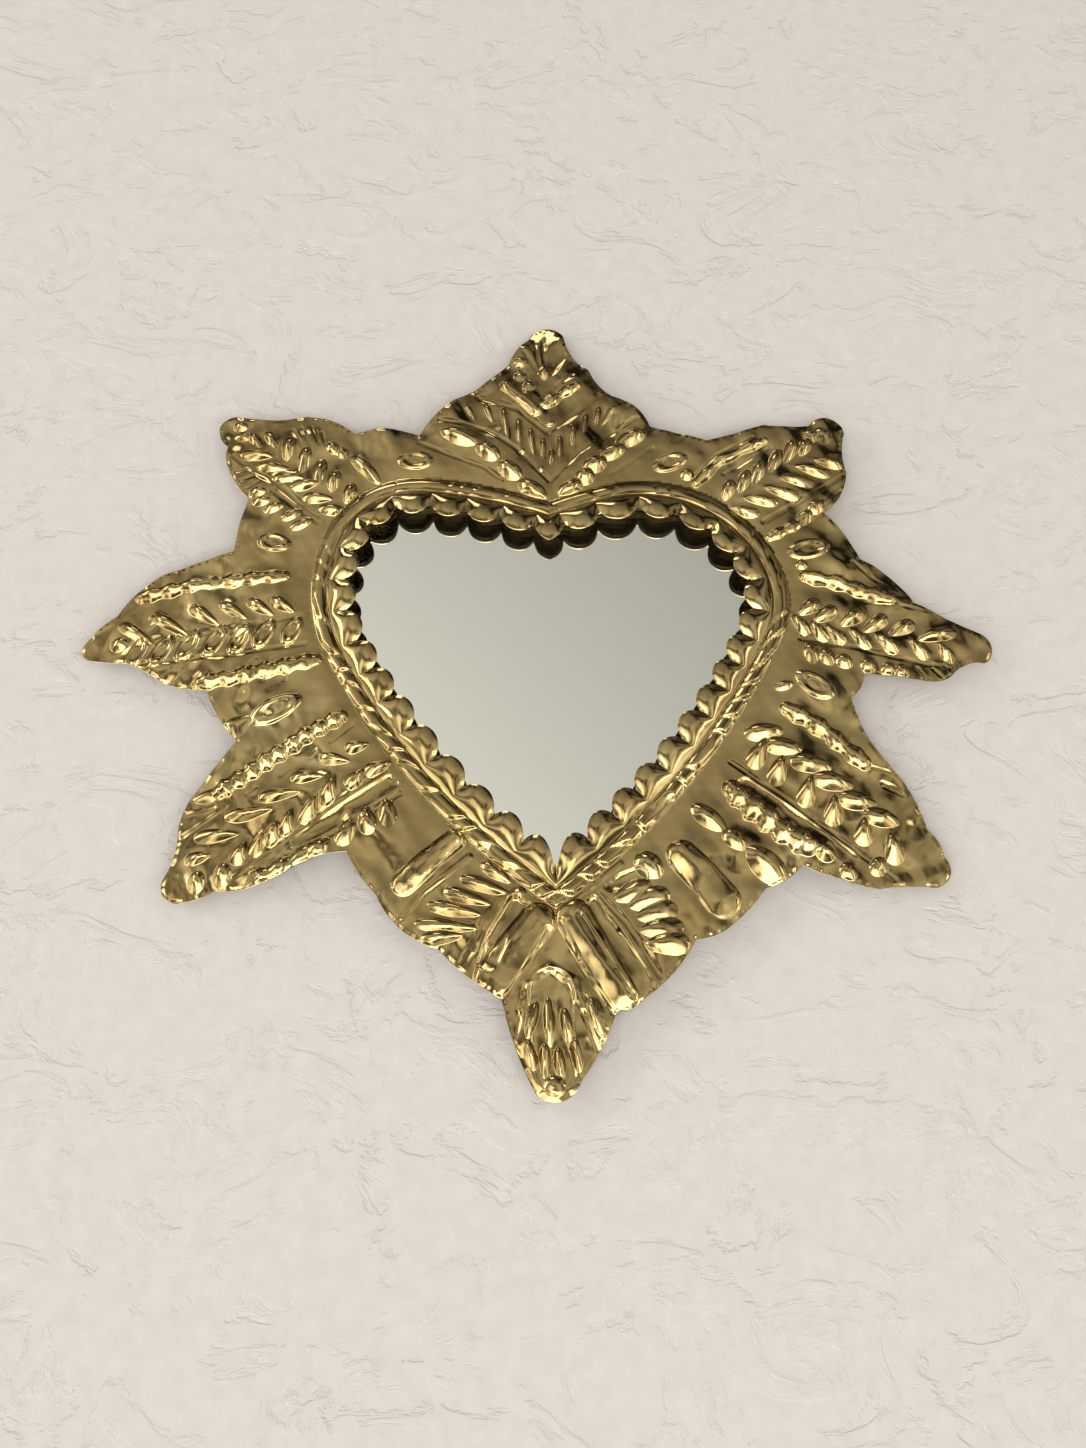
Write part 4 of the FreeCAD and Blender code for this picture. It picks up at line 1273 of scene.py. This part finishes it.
def felt():
    """Dark wool felt."""
    shader = Shader("felt")
    fuzz = shader.noise(1500, detail=6.0, roughness=0.8, seed=1.0)
    tone = shader.ramp(fuzz, [(0.3, FELT_DARK), (0.7, FELT_LIGHT)])
    shader.bump(fuzz, FUZZ_DEPTH)
    return shader.finish(tone, 1.0, Sheen_Weight=0.5)


def wall_paint():
    """The pale wall: it shows to the camera from its front side only, so it hides no other view."""
    shader = Shader("wall_paint")
    grain = shader.noise(120, detail=6.0, roughness=0.65, seed=2.0)
    tone = shader.ramp(grain, [(0.2, WALL_DARK), (0.8, WALL_LIGHT)])
    strokes = shader.noise(21, detail=7.0, roughness=0.6, distortion=0.7, stretch=(1, 1, 1.4), seed=11.0)
    ridges = shader.ramp(strokes, [(0.38, 0.0), (0.42, 0.5), (0.55, 0.55), (0.6, 0.95), (0.7, 1.0)])
    shader.bump(ridges, TROWEL_DEPTH, 0.8)
    shader.finish(tone, 0.95)
    shader.put(shader.surface, Specular_IOR_Level=0.1)
    path = shader.add("ShaderNodeLightPath")
    side = shader.add("ShaderNodeNewGeometry")
    front = shader.number("SUBTRACT", path.outputs["Is Camera Ray"], side.outputs["Backfacing"])
    see_through = shader.add("ShaderNodeBsdfTransparent")
    return shader.show(shader.between(front, see_through.outputs[0], shader.surface.outputs[0]))


def make_stage():
    """The wall behind the mirror."""
    half, top, low = WALL_HALF_WIDTH, WALL_TOP, WALL_FOOT
    mesh = bpy.data.meshes.new("wall")
    corners = [(-half, WALL_GAP, low), (half, WALL_GAP, low), (half, WALL_GAP, top), (-half, WALL_GAP, top)]
    mesh.from_pydata(corners, [], [(0, 1, 2, 3)])
    mesh.materials.append(wall_paint())
    made = new_object("wall", mesh)


def make_world():
    """A pale room: lighter low down and on the left, greyer above, with broad soft patches that polished
    metal shows. The camera sees an even backdrop in its place."""
    world = bpy.data.worlds.new("room")
    bpy.context.scene.world = world
    world.use_nodes = True
    room = Nodes(world.node_tree)
    place = room.add("ShaderNodeTexCoord").outputs["Generated"]
    parts = room.put(room.add("ShaderNodeSeparateXYZ"), Vector=place)
    rise = room.put(room.add("ShaderNodeMapRange"), Value=parts.outputs["Z"], From_Min=-1)
    stops = [((height + 1) / 2, tuple(level * c for c in ROOM_TINT)) for height, level in ROOM_TONES]
    tone = room.ramp(rise.outputs[0], stops)
    lighter, darker = ROOM_SIDE_LEVELS
    side = room.put(room.add("ShaderNodeMapRange"), Value=parts.outputs["X"], From_Min=-ROOM_SIDE_WIDTH,
                    From_Max=ROOM_SIDE_WIDTH, To_Min=lighter, To_Max=darker)
    sided = room.put_in_order(room.add("ShaderNodeVectorMath", operation="SCALE"), tone)
    room.put(sided, Scale=side.outputs[0])
    patches = room.put(room.add("ShaderNodeTexNoise"), Vector=place, Scale=ROOM_PATCH_SCALE, Detail=1.0)
    contrast = room.ramp(patches.outputs["Fac"], ROOM_PATCH_TONES)
    calm = room.put_in_order(room.add("ShaderNodeVectorMath", operation="DISTANCE"), place, CALM_DIRECTION)
    fade = room.put(room.add("ShaderNodeMapRange", interpolation_type="SMOOTHSTEP"),
                    Value=calm.outputs["Value"], From_Min=CALM_RADII[0], From_Max=CALM_RADII[1])
    mixed = room.mix(fade.outputs[0], sided.outputs["Vector"], contrast, "MULTIPLY")
    path = room.add("ShaderNodeLightPath")
    room.put(room.tree.nodes["Background"], Color=room.mix(path.outputs["Is Camera Ray"], mixed, BACKDROP))


def make_lamps():
    """Large soft panels in front of the wall, aimed at the mirror."""
    target = Vector((0, 0, CUSP_Z - HEART_HEIGHT / 2))
    for name, (place, size, power, tint) in LAMPS.items():
        data = bpy.data.lights.new(name, "AREA")
        data.shape = "RECTANGLE"
        data.size, data.size_y = size
        data.energy = power
        data.color = tint
        lamp = new_object(name, data)
        lamp.location = place
        lamp.rotation_mode = "QUATERNION"
        lamp.rotation_quaternion = (target - Vector(place)).to_track_quat("-Z", "Y")


def make_camera():
    """The photograph's camera."""
    data = bpy.data.cameras.new("camera")
    data.sensor_fit = "VERTICAL"
    data.sensor_height = SENSOR_HEIGHT
    data.sensor_width = SENSOR_HEIGHT
    data.lens = LENS
    data.clip_start = CLIP_START
    camera = new_object("camera", data)
    right, up, look = camera_axes()
    turn = Matrix((right, up, -look)).transposed()
    camera.matrix_world = Matrix.Translation(CAMERA_PLACE) @ turn.to_4x4()
    bpy.context.scene.camera = camera


def dress_nodes():
    """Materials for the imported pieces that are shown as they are."""
    tin = plain_metal("tinned_sheet", TIN, 0.3, 0.55)
    solder = plain_metal("solder", SOLDER, 0.25, 0.5, relief=CAST_DEPTH, per_metre=500)
    brass = plain_metal("strap_brass", STRAP_BRASS, 0.25, 0.45, stretch=(0.1, 1, 1))
    steel = plain_metal("steel_wire", STEEL, 0.2, 0.4, stretch=(0.1, 1, 0.1))
    finishes = {
        "mirror_glass": clear_glass(),
        "packing_card": card(),
        "back_tray": tin,
        "glass_clips": tin,
        "solder_beads": solder,
        "hanger_strap": brass,
        "hanger_rivet_left": brass,
        "hanger_rivet_right": brass,
        "hanger_ring": steel,
    }
    soft = felt()
    for name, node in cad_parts.items():
        finish = finishes.get(name, soft if name.startswith("wall_pad") else None)
        if finish:
            node.data.materials.clear()
            node.data.materials.append(finish)


def main():
    """Builds the scene."""
    make_camera()
    make_stage()
    make_world()
    make_lamps()
    sheet = make_embossed_sheet()
    sheet.data.materials.append(embossed_brass())
    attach(sheet, "mirror")
    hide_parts("front_sheet")
    make_silver()
    dress_nodes()
    bpy.context.scene.view_settings.view_transform = "Standard"


main()
